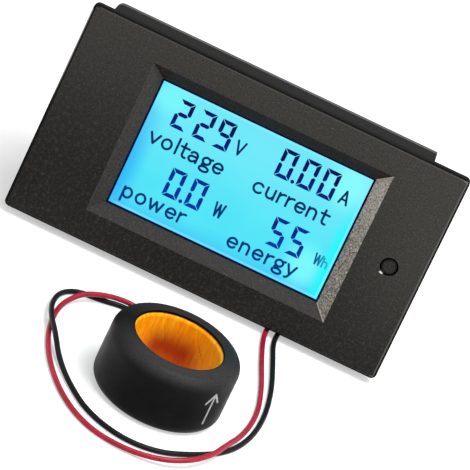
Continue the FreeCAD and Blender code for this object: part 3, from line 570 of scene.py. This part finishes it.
# Winding and core
# Fine enamelled copper wire wound side by side round a core of thin steel strip. Both are hidden in
# the jacket.
wires = 180
winding_look, winding_shader = new_material("enamelled_wire", 0.3, metal=1.0, coat=0.4)
round_axis = node(winding_shader, "ShaderNodeTexGradient", gradient_type="RADIAL",
                  links=[("Vector", place(winding_shader, moved=to_axis))]).outputs["Fac"]
wire_wave = worked("SINE", worked("MULTIPLY", round_axis, 2 * math.pi * wires))
wire = worked("MULTIPLY_ADD", wire_wave, 0.5, 0.5)
tint(winding_shader, shades(wire, (0.1, (92, 34, 14)), (0.7, (196, 104, 58))))
grain(winding_shader, (wire, 0.00008))
dress(winding_look, "ct_winding")
core_look, core_shader = new_material("core_strip", 0.4, metal=0.9)
strip_rings = node(core_shader, "ShaderNodeTexWave", [("Vector", place(core_shader, moved=to_axis))],
                   [("Scale", 1600.0), ("Distortion", 0.3)], wave_type="RINGS", rings_direction="Z")
strip = strip_rings.outputs["Fac"]
tint(core_shader, shades(strip, (0.2, (92, 92, 96)), (0.8, (150, 150, 154))))
grain(core_shader, (strip, 0.00003))
dress(core_look, "ct_core")

# Front case
# Panel flange, housing walls and window surround in one black moulding. Its face has the fine dull
# grain of a spark-eroded mould. Light and shade are painted into its colour: the face lighter toward the
# top and the right, a speckled painted sheen on the window's right slope, the left and foot slopes
# lighter and the top slope darker, painted highlights along the right edge, the right mitres and the
# button hole's edge, a painted glint on the left edge, and painted shade on the outer rim and the
# housing walls.
panel_half = (45.0, 25.0)
view_middle = (0.75, 25.3)
view_size = (51.3, 30.9)
slope_size = (3.1, 2.8)


def panel_place(shader):
    """The piece's own coordinates turned back upright, in millimetres: all of them, then x, back and up
    each on its own."""
    own = node(shader, "ShaderNodeTexCoord").outputs["Object"]
    values = [("Location", leaned(0.0, 0.0, 0.0)), ("Rotation", (-lean, 0.0, 0.0)), ("Scale", (0.001,) * 3)]
    upright = node(shader, "ShaderNodeMapping", [("Vector", own)], values, vector_type="TEXTURE")
    return upright.outputs["Vector"], *parts(upright.outputs["Vector"])


def apart(first, second):
    """How far apart two measures are."""
    return worked("ABSOLUTE", worked("SUBTRACT", first, second))


def past_view(value, axis):
    """How far a place lies up the window's slope along one axis: 0 at the view's edge, 1 at its top."""
    off = worked("SUBTRACT", apart(value, view_middle[axis]), view_size[axis] / 2)
    return worked("DIVIDE", off, slope_size[axis])


def on_rise(measure):
    """1 where a slope's measure lies between 0 and 1, else 0."""
    return product(worked("GREATER_THAN", measure, 0.0), worked("LESS_THAN", measure, 1.0))


def on_slope(higher, lower):
    """1 on the slope whose own measure is the higher of the two and lies between 0 and 1, else 0."""
    return product(worked("GREATER_THAN", higher, lower), on_rise(higher))


def disc(where, x, up, wide, high):
    """1 at a place on the panel, falling to 0 at the edge of an ellipse wide and high millimetres
    across, at any depth."""
    values = [("Location", (x, 0.0, up)), ("Scale", (wide / 2, 60.0, high / 2))]
    shifted = node(where, "ShaderNodeMapping", [("Vector", where)], values, vector_type="TEXTURE")
    ball = node(where, "ShaderNodeTexGradient", [("Vector", shifted.outputs["Vector"])],
                gradient_type="SPHERICAL")
    return ball.outputs["Fac"]


def spot(*disc_values):
    """A soft round patch of light over a disc."""
    return fade(disc(*disc_values), 0.0, 0.8)


case_look, case_shader = new_material("grained_black", 0.52, shine=0.12)
case_where, case_x, case_back, case_up = panel_place(case_shader)
case_soft = noise(case_where, 9.0)
case_fine = noise(case_where, 0.4, 4.0, 0.7)
case_coarse = noise(case_where, 0.9, 3.0, 0.6)
# Painted light: the face is painted lighter toward the right, more so low down.
painted_light_to_right = product(fade(case_x, 18.0, 44.0), fade(case_up, -5.0, 30.0, 0.8))
beside = past_view(case_x, 0)
above = past_view(case_up, 1)
side_slope = on_slope(beside, above)
end_slope = on_slope(above, beside)
right_slope = product(side_slope, fade(case_x, 24.0, 25.0, 0.9))
left_slope = product(side_slope, fade(case_x, -23.0, -24.0, 0.6))
top_slope = product(end_slope, fade(case_up, 39.0, 40.0, 0.9))
foot_slope = product(end_slope, fade(case_up, 12.0, 11.0, 0.6))
# Painted highlight: a light line along the window's right mitres.
painted_mitre_highlight = product(fade(apart(beside, above), 0.07, 0.02, 0.7), fade(case_x, 24.0, 25.0), on_rise(above))
# Painted sheen: the window's right slope is painted light and speckled, lighter still toward its top.
painted_slope_sheen = layered(
    shades(case_fine, (0.34, (88, 82, 78)), (0.5, (128, 122, 114)), (0.66, (202, 194, 182))),
    (fade(case_coarse, 0.42, 0.62, 0.35), (140, 124, 114)),
    (fade(case_up, 24.0, 38.0, 0.3), (206, 196, 188)),
)
from_edge = worked("MINIMUM", worked("SUBTRACT", panel_half[0], worked("ABSOLUTE", case_x)),
                   worked("SUBTRACT", panel_half[1], apart(case_up, panel_half[1])))
# Painted highlight: a thin light line just inside the panel's right edge.
painted_edge_highlight = product(fade(from_edge, 0.46, 0.56, 0.42), fade(from_edge, 0.84, 0.68),
                    fade(case_x, 43.4, 43.9))
# Painted shade: the panel's outer rounded edge is painted near black, a little wider at the left.
wider_at_left = worked("MULTIPLY", fade(case_x, -43.4, -43.9), 0.22)
painted_rim_shade = fade(worked("SUBTRACT", from_edge, wider_at_left), 0.48, 0.36, 0.95)
left_glint = product(fade(case_x, -44.7, -44.82, 0.7), fade(case_up, 24.0, 36.0),
                     fade(case_up, 48.8, 48.2), fade(case_back, 0.7, 0.5))
# Painted highlight: a small white glint on the lower left of the button hole's edge.
painted_hole_glint = spot(case_where, 36.1, 22.94, 1.5, 0.75)
tint(case_shader, layered(
    shades(case_soft, (0.3, (19, 18, 17)), (0.7, (26, 24, 23))),
    # Painted light: the face is painted lighter toward the top.
    (fade(case_up, 12.0, 54.0), (52, 51, 48)),
    (painted_light_to_right, (56, 55, 51)),
    (fade(case_coarse, 0.45, 0.75, 0.4), (64, 62, 58)),
    (right_slope, painted_slope_sheen),
    # Painted light and shade on the window's slopes: the left and foot slopes lighter, the top slope
    # darker.
    (left_slope, (64, 60, 56)),
    (top_slope, (24, 8, 8)),
    (foot_slope, (50, 46, 43)),
    (fade(case_fine, 0.5, 0.3, 0.7), (8, 8, 8)),
    (fade(case_fine, 0.54, 0.76, 0.35), (120, 118, 110)),
    # Painted shade: the housing walls behind the flange are painted near black, darker than the face.
    (fade(case_back, 2.4, 2.8, 0.92), (12, 12, 12)),
    (painted_edge_highlight, (120, 118, 112)),
    (painted_rim_shade, (4, 4, 4)),
    (painted_mitre_highlight, (176, 172, 162)),
    (left_glint, (160, 160, 158)),
    (painted_hole_glint, (236, 234, 228)),
))
case_dull = worked("MAXIMUM", painted_rim_shade, fade(case_back, 2.4, 2.8, 0.9))
case_satin = worked("ADD", fade(case_fine, 0.3, 0.7, 0.22), 0.4)
feed(case_shader, "Roughness", worked("MAXIMUM", case_dull, case_satin))
grain(case_shader, (case_coarse, 0.00006), (case_fine, 0.00008))
dress(case_look, "front_case", "panel_clip_left", "panel_clip_right")

# Display
# A liquid-crystal cell between two films, lit from behind by three blue lamps. The front film's face
# shows the lit field: paler toward the top and in three corners, blue at the left and the foot.
lit_look, lit_shader = new_material("lit_film", 0.35, shine=0.05)
lit_where, lit_x, lit_back, lit_up = panel_place(lit_shader)
lit_left = product(fade(lit_x, -19.5, -25.0), worked("ADD", fade(lit_up, 36.0, 20.0, 0.5), 0.4))
lit_right = product(fade(lit_x, 22.4, 25.4), fade(lit_up, 36.0, 24.0))
lit_in = worked("MINIMUM", worked("MULTIPLY", past_view(lit_x, 0), -slope_size[0]),
                worked("MULTIPLY", past_view(lit_up, 1), -slope_size[1]))
lit_border = product(fade(lit_in, 1.15, 0.9, 0.45), fade(lit_in, 0.4, 0.6), fade(lit_x, -24.4, -22.0))
lit_shader.inputs["Base Color"].default_value = (0.01, 0.03, 0.05, 1.0)
feed(lit_shader, "Emission Color", layered(
    (68, 224, 248),
    (noise(lit_where, 9.0, 2.0), (92, 240, 250)),
    (fade(lit_up, 17.0, 37.0, 0.75), (122, 238, 252)),
    (lit_left, (34, 176, 250)),
    (fade(lit_up, 15.0, 8.5), (58, 200, 250)),
    (spot(lit_where, -21.0, 37.5, 15.0, 11.0), (120, 250, 252)),
    (spot(lit_where, 22.0, 37.0, 14.0, 16.0), (136, 255, 254)),
    (spot(lit_where, 20.2, 16.0, 12.0, 14.5), (122, 252, 254)),
    (lit_right, (10, 252, 255)),
    (lit_border, (150, 244, 255)),
))
feed(lit_shader, "Emission Strength", fade(lit_back, 2.7, 2.6, 0.93))
grain(lit_shader, (noise(lit_where, 0.3, 2.0), 0.000002))
dress(lit_look, "lcd_front_film")

# Display picture
# Dark ink of the cell: seven-segment digits with mitred ends, four quantities and their units in a
# plain round-ended letter, and a dark line round the view, the cell's seal and painted shade under the
# window's lip. It shows by a dim light of its own.
picture_front = 2.515
picture_back = 2.54
digit_wide = 3.5
digit_high = 6.82
bar = 0.9
mitre = 0.1
point_radius = 0.44
word_width = 0.54
unit_width = 0.48
small_unit_width = 0.4
seal_shade_reach = 0.3
seal_shade_width = 0.78


def inked(shader, body, tone, strength):
    """Gives a shader the ink's own light: a tone over a dark body, which is given as light."""
    shader.inputs["Base Color"].default_value = (*body, 1.0)
    shader.inputs["Emission Strength"].default_value = strength
    feed(shader, "Emission Color", tone)


ink_look, ink_shader = new_material("dark_segments", 0.6, shine=0.0)
ink_where, _, _, ink_up = panel_place(ink_shader)
inked(ink_shader, (0.002, 0.004, 0.03), layered(
    (2, 5, 66),
    (fade(ink_up, 38.0, 30.0), (6, 34, 128)),
    (fade(ink_up, 28.0, 18.0), (8, 56, 170)),
    (fade(noise(ink_where, 1.1, 2.0), 0.4, 0.8), (4, 22, 104)),
), 0.9)
letter_look, letter_shader = new_material("dark_letters", 0.6, shine=0.0)
letter_where, _, _, letter_up = panel_place(letter_shader)
inked(letter_shader, (0.002, 0.008, 0.03), layered(
    (0, 34, 80),
    (fade(letter_up, 30.0, 12.0), (4, 56, 136)),
    (noise(letter_where, 0.9, 2.0), (4, 48, 104)),
), 0.9)
faint_look, faint_shader = new_material("faint_letters", 0.6, shine=0.0)
faint_x = panel_place(faint_shader)[1]
faint = layered((10, 84, 140), (fade(faint_x, 21.5, 25.0), (50, 180, 210)))
inked(faint_shader, (0.002, 0.02, 0.03), faint, 0.93)


def on_cell(x, up, back):
    """Places of the picture in the row frame."""
    return leaned(x, back, up)


def plates(name, outlines, material):
    """Thin closed plates from flat outlines of equal point number, an array of (plate, point, x and up):
    each outline is laid at the front and the back depth, and its two copies are joined by a wall."""
    count, size = outlines.shape[:2]
    sides = [on_cell(outlines[..., 0], outlines[..., 1], depth) for depth in (picture_front, picture_back)]
    points = np.stack(sides, axis=1).reshape(-1, 3)
    first = np.arange(count)[:, None] * 2 * size
    step = np.arange(size)[None]
    after = (step + 1) % size
    walls = np.stack([first + step, first + after, first + size + after, first + size + step], axis=-1)
    faces = walls.reshape(-1, 4).tolist()
    faces += (first + step).tolist() + (first + size + step[:, ::-1]).tolist()
    mesh = bpy.data.meshes.new(name)
    mesh.from_pydata(points.tolist(), [], faces)
    mesh.materials.append(material)
    return mesh


def segments(x, up):
    """The seven bars of a digit as six-cornered outlines, named as usual from a at the top, clockwise,
    to g in the middle. At a corner two bars meet along its 45 degree line, and every bar keeps half of
    the fine gap that parts it from the next."""
    w, h, b, g = digit_wide, digit_high, bar, mitre
    m = h / 2
    top = np.array([(g, h), (w - g, h), (w - b / 2 - g, h - b / 2), (w - b - g, h - b), (b + g, h - b),
                    (b / 2 + g, h - b / 2)])
    right = np.array([(w, h - g), (w, m + b * 0.4), (w - b / 2, m + g), (w - b, m + b / 2 + g),
                      (w - b, h - b - g), (w - b / 2, h - b / 2 - g)])
    flat = np.array([(b / 2 + g, m), (b + g, m + b / 2), (w - b - g, m + b / 2), (w - b / 2 - g, m),
                     (w - b - g, m - b / 2), (b + g, m - b / 2)])
    shapes = {
        "a": top, "b": right, "c": right * [1.0, -1.0] + [0.0, h], "d": top * [1.0, -1.0] + [0.0, h],
        "e": right * -1.0 + [w, h], "f": right * [-1.0, 1.0] + [w, 0.0], "g": flat,
    }
    return {key: shape + [x, up] for key, shape in shapes.items()}


read_middle = (0.55, 24.83)
read_scale = (1.012, 0.9825)


def fitted(points):
    """Moves places read off the photograph to the window's own middle and size."""
    return view_middle + (np.asarray(points) - read_middle) * read_scale


lit_bars = {"0": "abcdef", "2": "abged", "5": "afgcd", "9": "abcdfg"}
readings = [
    ("229", (-19.3, -14.1, -9.35), 31.25), ("000", (5.45, 10.65, 15.45), 31.35),
    ("00", (-14.6, -9.35), 16.2), ("55", (10.0, 14.65), 16.25),
]
bars = np.array([segments(x, up)[key] for reading, places, up in readings
                 for digit, x in zip(reading, places) for key in lit_bars[digit]])
add_piece(plates("display_digits", fitted(bars), ink_look), "film")
point_angle = np.linspace(0, 2 * np.pi, 20, endpoint=False)
point_round = point_radius * np.stack([np.cos(point_angle), np.sin(point_angle)], axis=-1)
points = np.array([point_round + fitted(middle) for middle in ((-10.2, 16.6), (9.8, 31.75))])
add_piece(plates("display_points", points, ink_look), "film")


def bow(x, up, wide, high, start, end):
    """Points of an arc of an ellipse about (x, up), from the start angle to the end angle in degrees."""
    angle = np.radians(np.linspace(start, end, 2 + int(abs(end - start) / 9)))
    return np.stack([x + wide * np.cos(angle), up + high * np.sin(angle)], axis=-1)


def run(*points):
    """Straight runs between points, each as its own stroke."""
    return [np.array(pair, float) for pair in zip(points, points[1:])]


def joined(*pieces):
    """One stroke through arcs and lists of points, end to end."""
    return np.concatenate(pieces)


glyphs = {
    "v": run((0, 2.25), (1.07, 0), (2.15, 2.25)),
    "o": [bow(1.02, 1.12, 1.02, 1.12, 0, 360)],
    "l": run((0, 3.62), (0, 0)),
    "t": run((0, 2.25), (1.85, 2.25)) + [joined([(0.7, 3.2)], bow(1.35, 0.62, 0.65, 0.62, 180, 290))],
    "a": [joined(bow(0.98, 1.42, 0.84, 0.83, 150, 0), [(1.82, 0.0)]),
          joined([(1.82, 1.3)], bow(0.78, 0.62, 0.74, 0.64, 80, 290), [(1.82, 0.6)])],
    "g": [bow(0.98, 1.52, 0.84, 0.78, 0, 360), joined(bow(0.7, 0.46, 0.42, 0.26, 120, 270), [(1.3, 0.18)]),
          bow(1.02, -0.4, 1.02, 0.58, 0, 360)] + run((1.55, 2.1), (2.2, 2.3)),
    "e": [joined([(0.05, 1.12)], bow(1.02, 1.12, 1.02, 1.12, 0, 318))],
    "p": run((0, 2.25), (0, -1.1)) + [bow(0.95, 1.12, 0.95, 1.12, 0, 360)],
    "w": run((0, 2.25), (0.74, 0), (1.5, 2.1), (2.26, 0), (3.0, 2.25)),
    "r": run((0, 2.25), (0, 0)) + [bow(1.15, 1.15, 1.15, 1.08, 180, 82)],
    "c": [bow(1.1, 1.12, 1.1, 1.12, 42, 318)],
    "u": run((1.75, 2.25), (1.75, 0)) + [joined([(0, 2.25)], bow(0.87, 0.88, 0.87, 0.88, 180, 350))],
    "n": run((0, 2.25), (0, 0)) + [joined(bow(0.9, 1.35, 0.9, 0.9, 180, 0), [(1.8, 0)])],
    "y": run((0, 2.25), (0.98, 0.12)) + [joined([(1.95, 2.25)], bow(0.15, 0.1, 0.8, 0.92, -25, -88))],
    "V": run((0, 3.1), (0.9, 0), (1.8, 3.1)),
    "W": run((0, 3.15), (0.5, 0), (1.02, 2.9), (1.55, 0), (2.05, 3.15)),
    "A": run((0, 0), (0.87, 3.05), (1.75, 0)) + run((0.3, 0.95), (1.45, 0.95)),
    "h": run((0, 3.1), (0, 0)) + [joined(bow(0.7, 1.3, 0.7, 0.7, 180, 0), [(1.4, 0)])],
}
cap_angle = np.radians([18.0, 36.0, 54.0, 72.0, 84.0])[:, None]


def stroke(path, width):
    """The two sides of a stroke and whether it closes: half the width is laid off along the path's
    normal, and beyond each free end the half width falls off along a quarter circle."""
    closed = np.allclose(path[0], path[-1])
    if closed:
        along = np.roll(path[:-1], -1, axis=0) - np.roll(path[:-1], 1, axis=0)
        along = np.concatenate([along, along[:1]])
    else:
        along = np.gradient(path, axis=0)
    along /= np.linalg.norm(along, axis=1, keepdims=True)
    half = np.full((len(path), 1), width / 2)
    if not closed:
        cap, thin = np.sin(cap_angle) * width / 2, np.cos(cap_angle) * width / 2
        path = np.concatenate([(path[0] - cap * along[0])[::-1], path, path[-1] + cap * along[-1]])
        along = np.pad(along, ((len(cap), len(cap)), (0, 0)), mode="edge")
        half = np.concatenate([thin[::-1], half, thin])
    normal = np.stack([-along[:, 1], along[:, 0]], axis=-1)
    return path + normal * half, path - normal * half, closed


def box_sections(left, right, put, front, back):
    """A box section at each station, from its left side to its right and from front to back depth."""
    corners = ((left, front), (right, front), (right, back), (left, back))
    return np.stack([put(side[:, 0], side[:, 1], depth) for side, depth in corners], axis=1)


def strokes_mesh(name, paths, width, material, put=on_cell, front=picture_front, back=picture_back):
    """Thin closed ribbons along paths, each a row of flat box sections."""
    shape = bmesh.new()
    for path in paths:
        left, right, closed = stroke(path, width)
        if closed:
            left, right = left[:-1], right[:-1]
        sections = box_sections(left, right, put, front, back)
        part = grid_mesh("stroke", sections, material, closed_ends=closed, smooth=False)
        shape.from_mesh(part)
        bpy.data.meshes.remove(part)
    mesh = bpy.data.meshes.new(name)
    shape.to_mesh(mesh)
    shape.free()
    mesh.materials.append(material)
    return mesh


def written(word, places, up, scale=1.0):
    """The strokes of a word, each letter at its own place along the line, moved to the window's own
    measure."""
    return [fitted(path * scale + [x, up]) for letter, x in zip(word, places) for path in glyphs[letter]]


words = (
    written("voltage", (-22.05, -19.05, -15.75, -14.9, -12.65, -9.7, -6.9), 26.0)
    + written("power", (-22.25, -19.2, -16.15, -12.0, -9.05), 12.0)
    + written("current", (2.75, 5.8, 8.6, 10.65, 12.7, 15.6, 18.45), 26.0)
    + written("energy", (2.8, 5.85, 8.85, 11.9, 13.9, 16.8), 12.0)
)
units = written("V", [-4.3], 31.95) + written("W", [-2.85], 16.95) + written("A", [20.6], 32.1)
small_units = written("W", [21.3], 16.9, 0.78) + written("h", [23.3], 16.9, 0.7)
add_piece(strokes_mesh("display_words", words, word_width, letter_look), "film")
add_piece(strokes_mesh("display_units", units, unit_width, letter_look), "film")
add_piece(strokes_mesh("display_small_units", small_units, small_unit_width, faint_look), "film")
# The dark line round the view is the cell's seal and painted shade under the window's lip.
seal_and_lip_shade_look = moulded("seal_and_lip_shade", (0, 16, 54), (2, 26, 76), 0.004, 0.0004, 0.00001, 0.5, shine=0.0)
seal_shade_half = np.array(view_size) / 2 + seal_shade_reach
seal_shade_outer, seal_shade_inner = (square * half + view_middle for half in (seal_shade_half, seal_shade_half - seal_shade_width))
seal_shade_grid = box_sections(seal_shade_outer, seal_shade_inner, on_cell, picture_front, picture_back)
add_piece(grid_mesh("display_seal_and_lip_shade", seal_shade_grid, seal_and_lip_shade_look, smooth=False), "film")

# Films, glass and light behind the picture
# Rear film, glass cell, frosted sheet, clear guide lit at its edge by three small lamps, white
# reflector and the white moulded frame that holds them, with the cell's pins along its edge.


def clear_sheet(name, dark, light, blot, rough, clear):
    """The finish of a clear sheet: two near tints in soft blots, and a gloss that follows them."""
    material, shader = new_material(name, rough, clear=clear)
    soft = noise(place(shader), blot)
    tint(shader, shades(soft, (0.3, dark), (0.7, light)))
    gloss(shader, soft, rough - 0.02, rough + 0.04)
    return material


dress(clear_sheet("cell_glass", (150, 214, 222), (176, 230, 236), 0.012, 0.05, 0.9), "lcd_glass")
dress(clear_sheet("clear_guide", (150, 216, 250), (190, 234, 252), 0.01, 0.06, 0.85), "light_guide")
dress(moulded("rear_film", (70, 92, 104), (96, 118, 128), 0.01, 0.0006, 0.00001, 0.3), "lcd_rear_film")
dress(moulded("frosted_sheet", (196, 222, 236), (216, 236, 246), 0.012, 0.0003, 0.00002, 0.6),
      "light_diffuser")
dress(moulded("white_moulding", (226, 226, 220), (238, 238, 234), 0.012, 0.0005, 0.00002, 0.5),
      "light_reflector", "lcd_holder")
dress(moulded("lamp_resin", (226, 214, 120), (244, 238, 176), 0.001, 0.0002, 0.00001, 0.3),
      "backlight_leds")

# Button and switch
# A small black cap with a dull dimpled top stands in its hole and presses a tact switch: a moulded
# body with a plunger, a sprung dome and four tinned legs.
cap_look, cap_shader = new_material("dimpled_cap", 0.5, shine=0.15)
cap_where = panel_place(cap_shader)[0]
cap_fine = noise(cap_where, 0.45, 2.0)
# Painted shade: the cap's outer rim is painted near black, as the shadow in the gap round it.
painted_cap_rim_shade = fade(disc(cap_where, 37.1, 24.8, 3.5, 3.5), 0.28, 0.17)
cap_body = shades(cap_fine, (0.35, (20, 20, 20)), (0.65, (46, 45, 43)))
tint(cap_shader, layered(cap_body, (painted_cap_rim_shade, (3, 3, 3))))
gloss(cap_shader, cap_fine, 0.4, 0.6)
grain(cap_shader, (cap_fine, 0.00012))
dress(cap_look, "button_cap")
dress(moulded("switch_moulding", (34, 34, 36), (48, 48, 50), 0.002, 0.0003, 0.00002, 0.5),
      "switch_body", "switch_plunger")
dress(moulded("dome_steel", (176, 174, 168), (206, 204, 198), 0.001, 0.0002, 0.00001, 0.3, metal=1.0),
      "switch_dome")
dress(moulded("bright_tin", (176, 176, 172), (216, 216, 212), 0.0016, 0.0003, 0.00002, 0.3, metal=1.0),
      "switch_legs", "lcd_pins", "terminal_strips")

# Circuit board and what it carries
# Green fibreglass board under solder resist, with a sleeved storage capacitor, a boxed film capacitor,
# a dipped surge absorber, a fusible resistor, diodes, moulded chips, resistors and a canned crystal.
board_look, board_shader = new_material("green_resist", 0.35, coat=0.3)
board_where = panel_place(board_shader)[0]
tracks = node(board_shader, "ShaderNodeTexVoronoi", [("Vector", board_where)], [("Scale", 0.35)],
              distance="MANHATTAN")
track_edge = fade(tracks.outputs["Distance"], 0.62, 0.7)
board_body = shades(noise(board_where, 6.0), (0.3, (10, 78, 40)), (0.7, (16, 96, 50)))
tint(board_shader, layered(board_body, (track_edge, (30, 124, 66))))
grain(board_shader, (track_edge, 0.00003))
dress(board_look, "main_board")
sleeve_look, sleeve_shader = new_material("shrunk_sleeve", 0.28, coat=0.2)
sleeve_soft = noise(panel_place(sleeve_shader)[0], 4.0)
tint(sleeve_shader, shades(sleeve_soft, (0.3, (20, 24, 56)), (0.7, (30, 34, 72))))
grain(sleeve_shader, (sleeve_soft, 0.00006))
dress(sleeve_look, "bulk_capacitor")
dress(moulded("yellow_case", (214, 170, 40), (230, 188, 60), 0.008, 0.0004, 0.00002, 0.35),
      "film_capacitor")
dress(moulded("blue_dip", (24, 70, 160), (36, 88, 184), 0.003, 0.0008, 0.00006, 0.3, coat=0.3), "varistor")
dress(moulded("grey_green_dip", (98, 132, 108), (120, 150, 126), 0.002, 0.0003, 0.00003, 0.5),
      "fuse_resistor")
dress(moulded("black_resin", (24, 24, 25), (38, 38, 39), 0.002, 0.00025, 0.00003, 0.55),
      "rectifier_diodes", "metering_chip", "controller_chip", "memory_chip", "resistors")
dress(moulded("drawn_can", (182, 182, 180), (214, 214, 212), 0.004, 0.0005, 0.00002, 0.28, metal=1.0),
      "crystal")

# Terminals
# A green moulded block with four square cages of plated brass. Each cage climbs on its zinc-plated
# slotted screw and grips the wire against a tinned strip.
dress(moulded("green_moulding", (27, 103, 59), (32, 111, 64), 0.003, 0.0004, 0.00003, 0.45),
      "terminal_body")
zinc_look, zinc_shader = new_material("plated_screw", 0.3, metal=1.0)
zinc_soft = noise(place(zinc_shader), 0.0012, 2.0)
zinc_lines = noise(place(zinc_shader, stretch=(1.0, 8.0, 8.0)), 0.0012)
tint(zinc_shader, shades(zinc_soft, (0.3, (168, 170, 172)), (0.7, (212, 214, 216))))
gloss(zinc_shader, zinc_lines, 0.2, 0.42)
grain(zinc_shader, (zinc_lines, 0.00001))
dress(zinc_look, *[f"terminal_screw_{number}" for number in range(1, 5)])
dress(moulded("plated_brass", (196, 178, 124), (222, 206, 158), 0.002, 0.0003, 0.00002, 0.3, metal=1.0),
      *[f"terminal_clamp_{number}" for number in range(1, 5)])

# Rear cover, its screws and the bare label
# A flat black moulding let into the back of the case and held by four cross-head screws. The place
# of the rating label holds a plain silver film.
dress(moulded("cover_black", (26, 26, 27), (38, 38, 39), 0.014, 0.0004, 0.00003, 0.55), "rear_cover")
dress(zinc_look, "cover_screws")
dress(moulded("silver_film", (194, 196, 198), (201, 203, 205), 0.003, 0.0003, 0.00001, 0.35),
      "rear_label")

# Printed marks
# Plain pad printing: an arrow on the ring's side for the current's direction, and the numbers 1 to 4
# beside the terminals, on the cover.
print_look = moulded("pale_print", (150, 152, 152), (178, 180, 180), 0.0012, 0.0002, 0.000004, 0.55)
print_proud = 0.02
arrow_angle = math.radians(-36.0)
arrow_foot = 3.6
arrow_tip = 11.2
arrow_width = 0.5
cover_back = 25.0
number_x = 24.6
number_high = 2.1
number_width = 0.3


def on_ring_side(along, up, proud):
    """Places on the ring's side: along is laid off round the side as an angle of along over the radius,
    and proud is how far outside it they stand."""
    angle = arrow_angle + along / ring_radius
    x = ring_place[0] + (ring_radius + proud) * np.cos(angle)
    y = ring_place[1] + (ring_radius + proud) * np.sin(angle)
    return np.stack([x, y, up + 0 * angle], axis=-1) * 0.001


def on_cover(along, up, proud):
    """Places on the cover's outer face, read from behind, so that along runs towards smaller x."""
    return leaned(number_x - along, cover_back + proud, up)


shaft = np.column_stack([np.zeros(12), np.linspace(arrow_foot, arrow_tip, 12)])
head = [np.array([(side * 1.7, 8.9), (side * 0.85, 10.05), (0.0, arrow_tip)]) for side in (-1, 1)]
numerals = {
    "1": run((0.25, 1.65), (0.75, number_high), (0.75, 0.0)),
    "2": [joined(bow(0.65, 1.5, 0.6, 0.6, 170, -30), [(0.05, 0.0), (1.3, 0.0)])],
    "3": [bow(0.6, 1.58, 0.55, 0.52, 150, -90), bow(0.6, 0.53, 0.65, 0.53, 90, -150)],
    "4": run((1.0, 0.0), (1.0, number_high), (0.0, 0.7), (1.35, 0.7)),
}
number_paths = [path + [0.0, up - number_high / 2] for key, up in zip("1234", terminal_up)
                for path in numerals[key]]
add_piece(strokes_mesh("ring_arrow", [shaft] + head, arrow_width, print_look, on_ring_side,
                       print_proud, -print_proud), "jacket_plastic")
add_piece(strokes_mesh("terminal_numbers", number_paths, number_width, print_look, on_cover,
                       print_proud, -print_proud), "label_film")
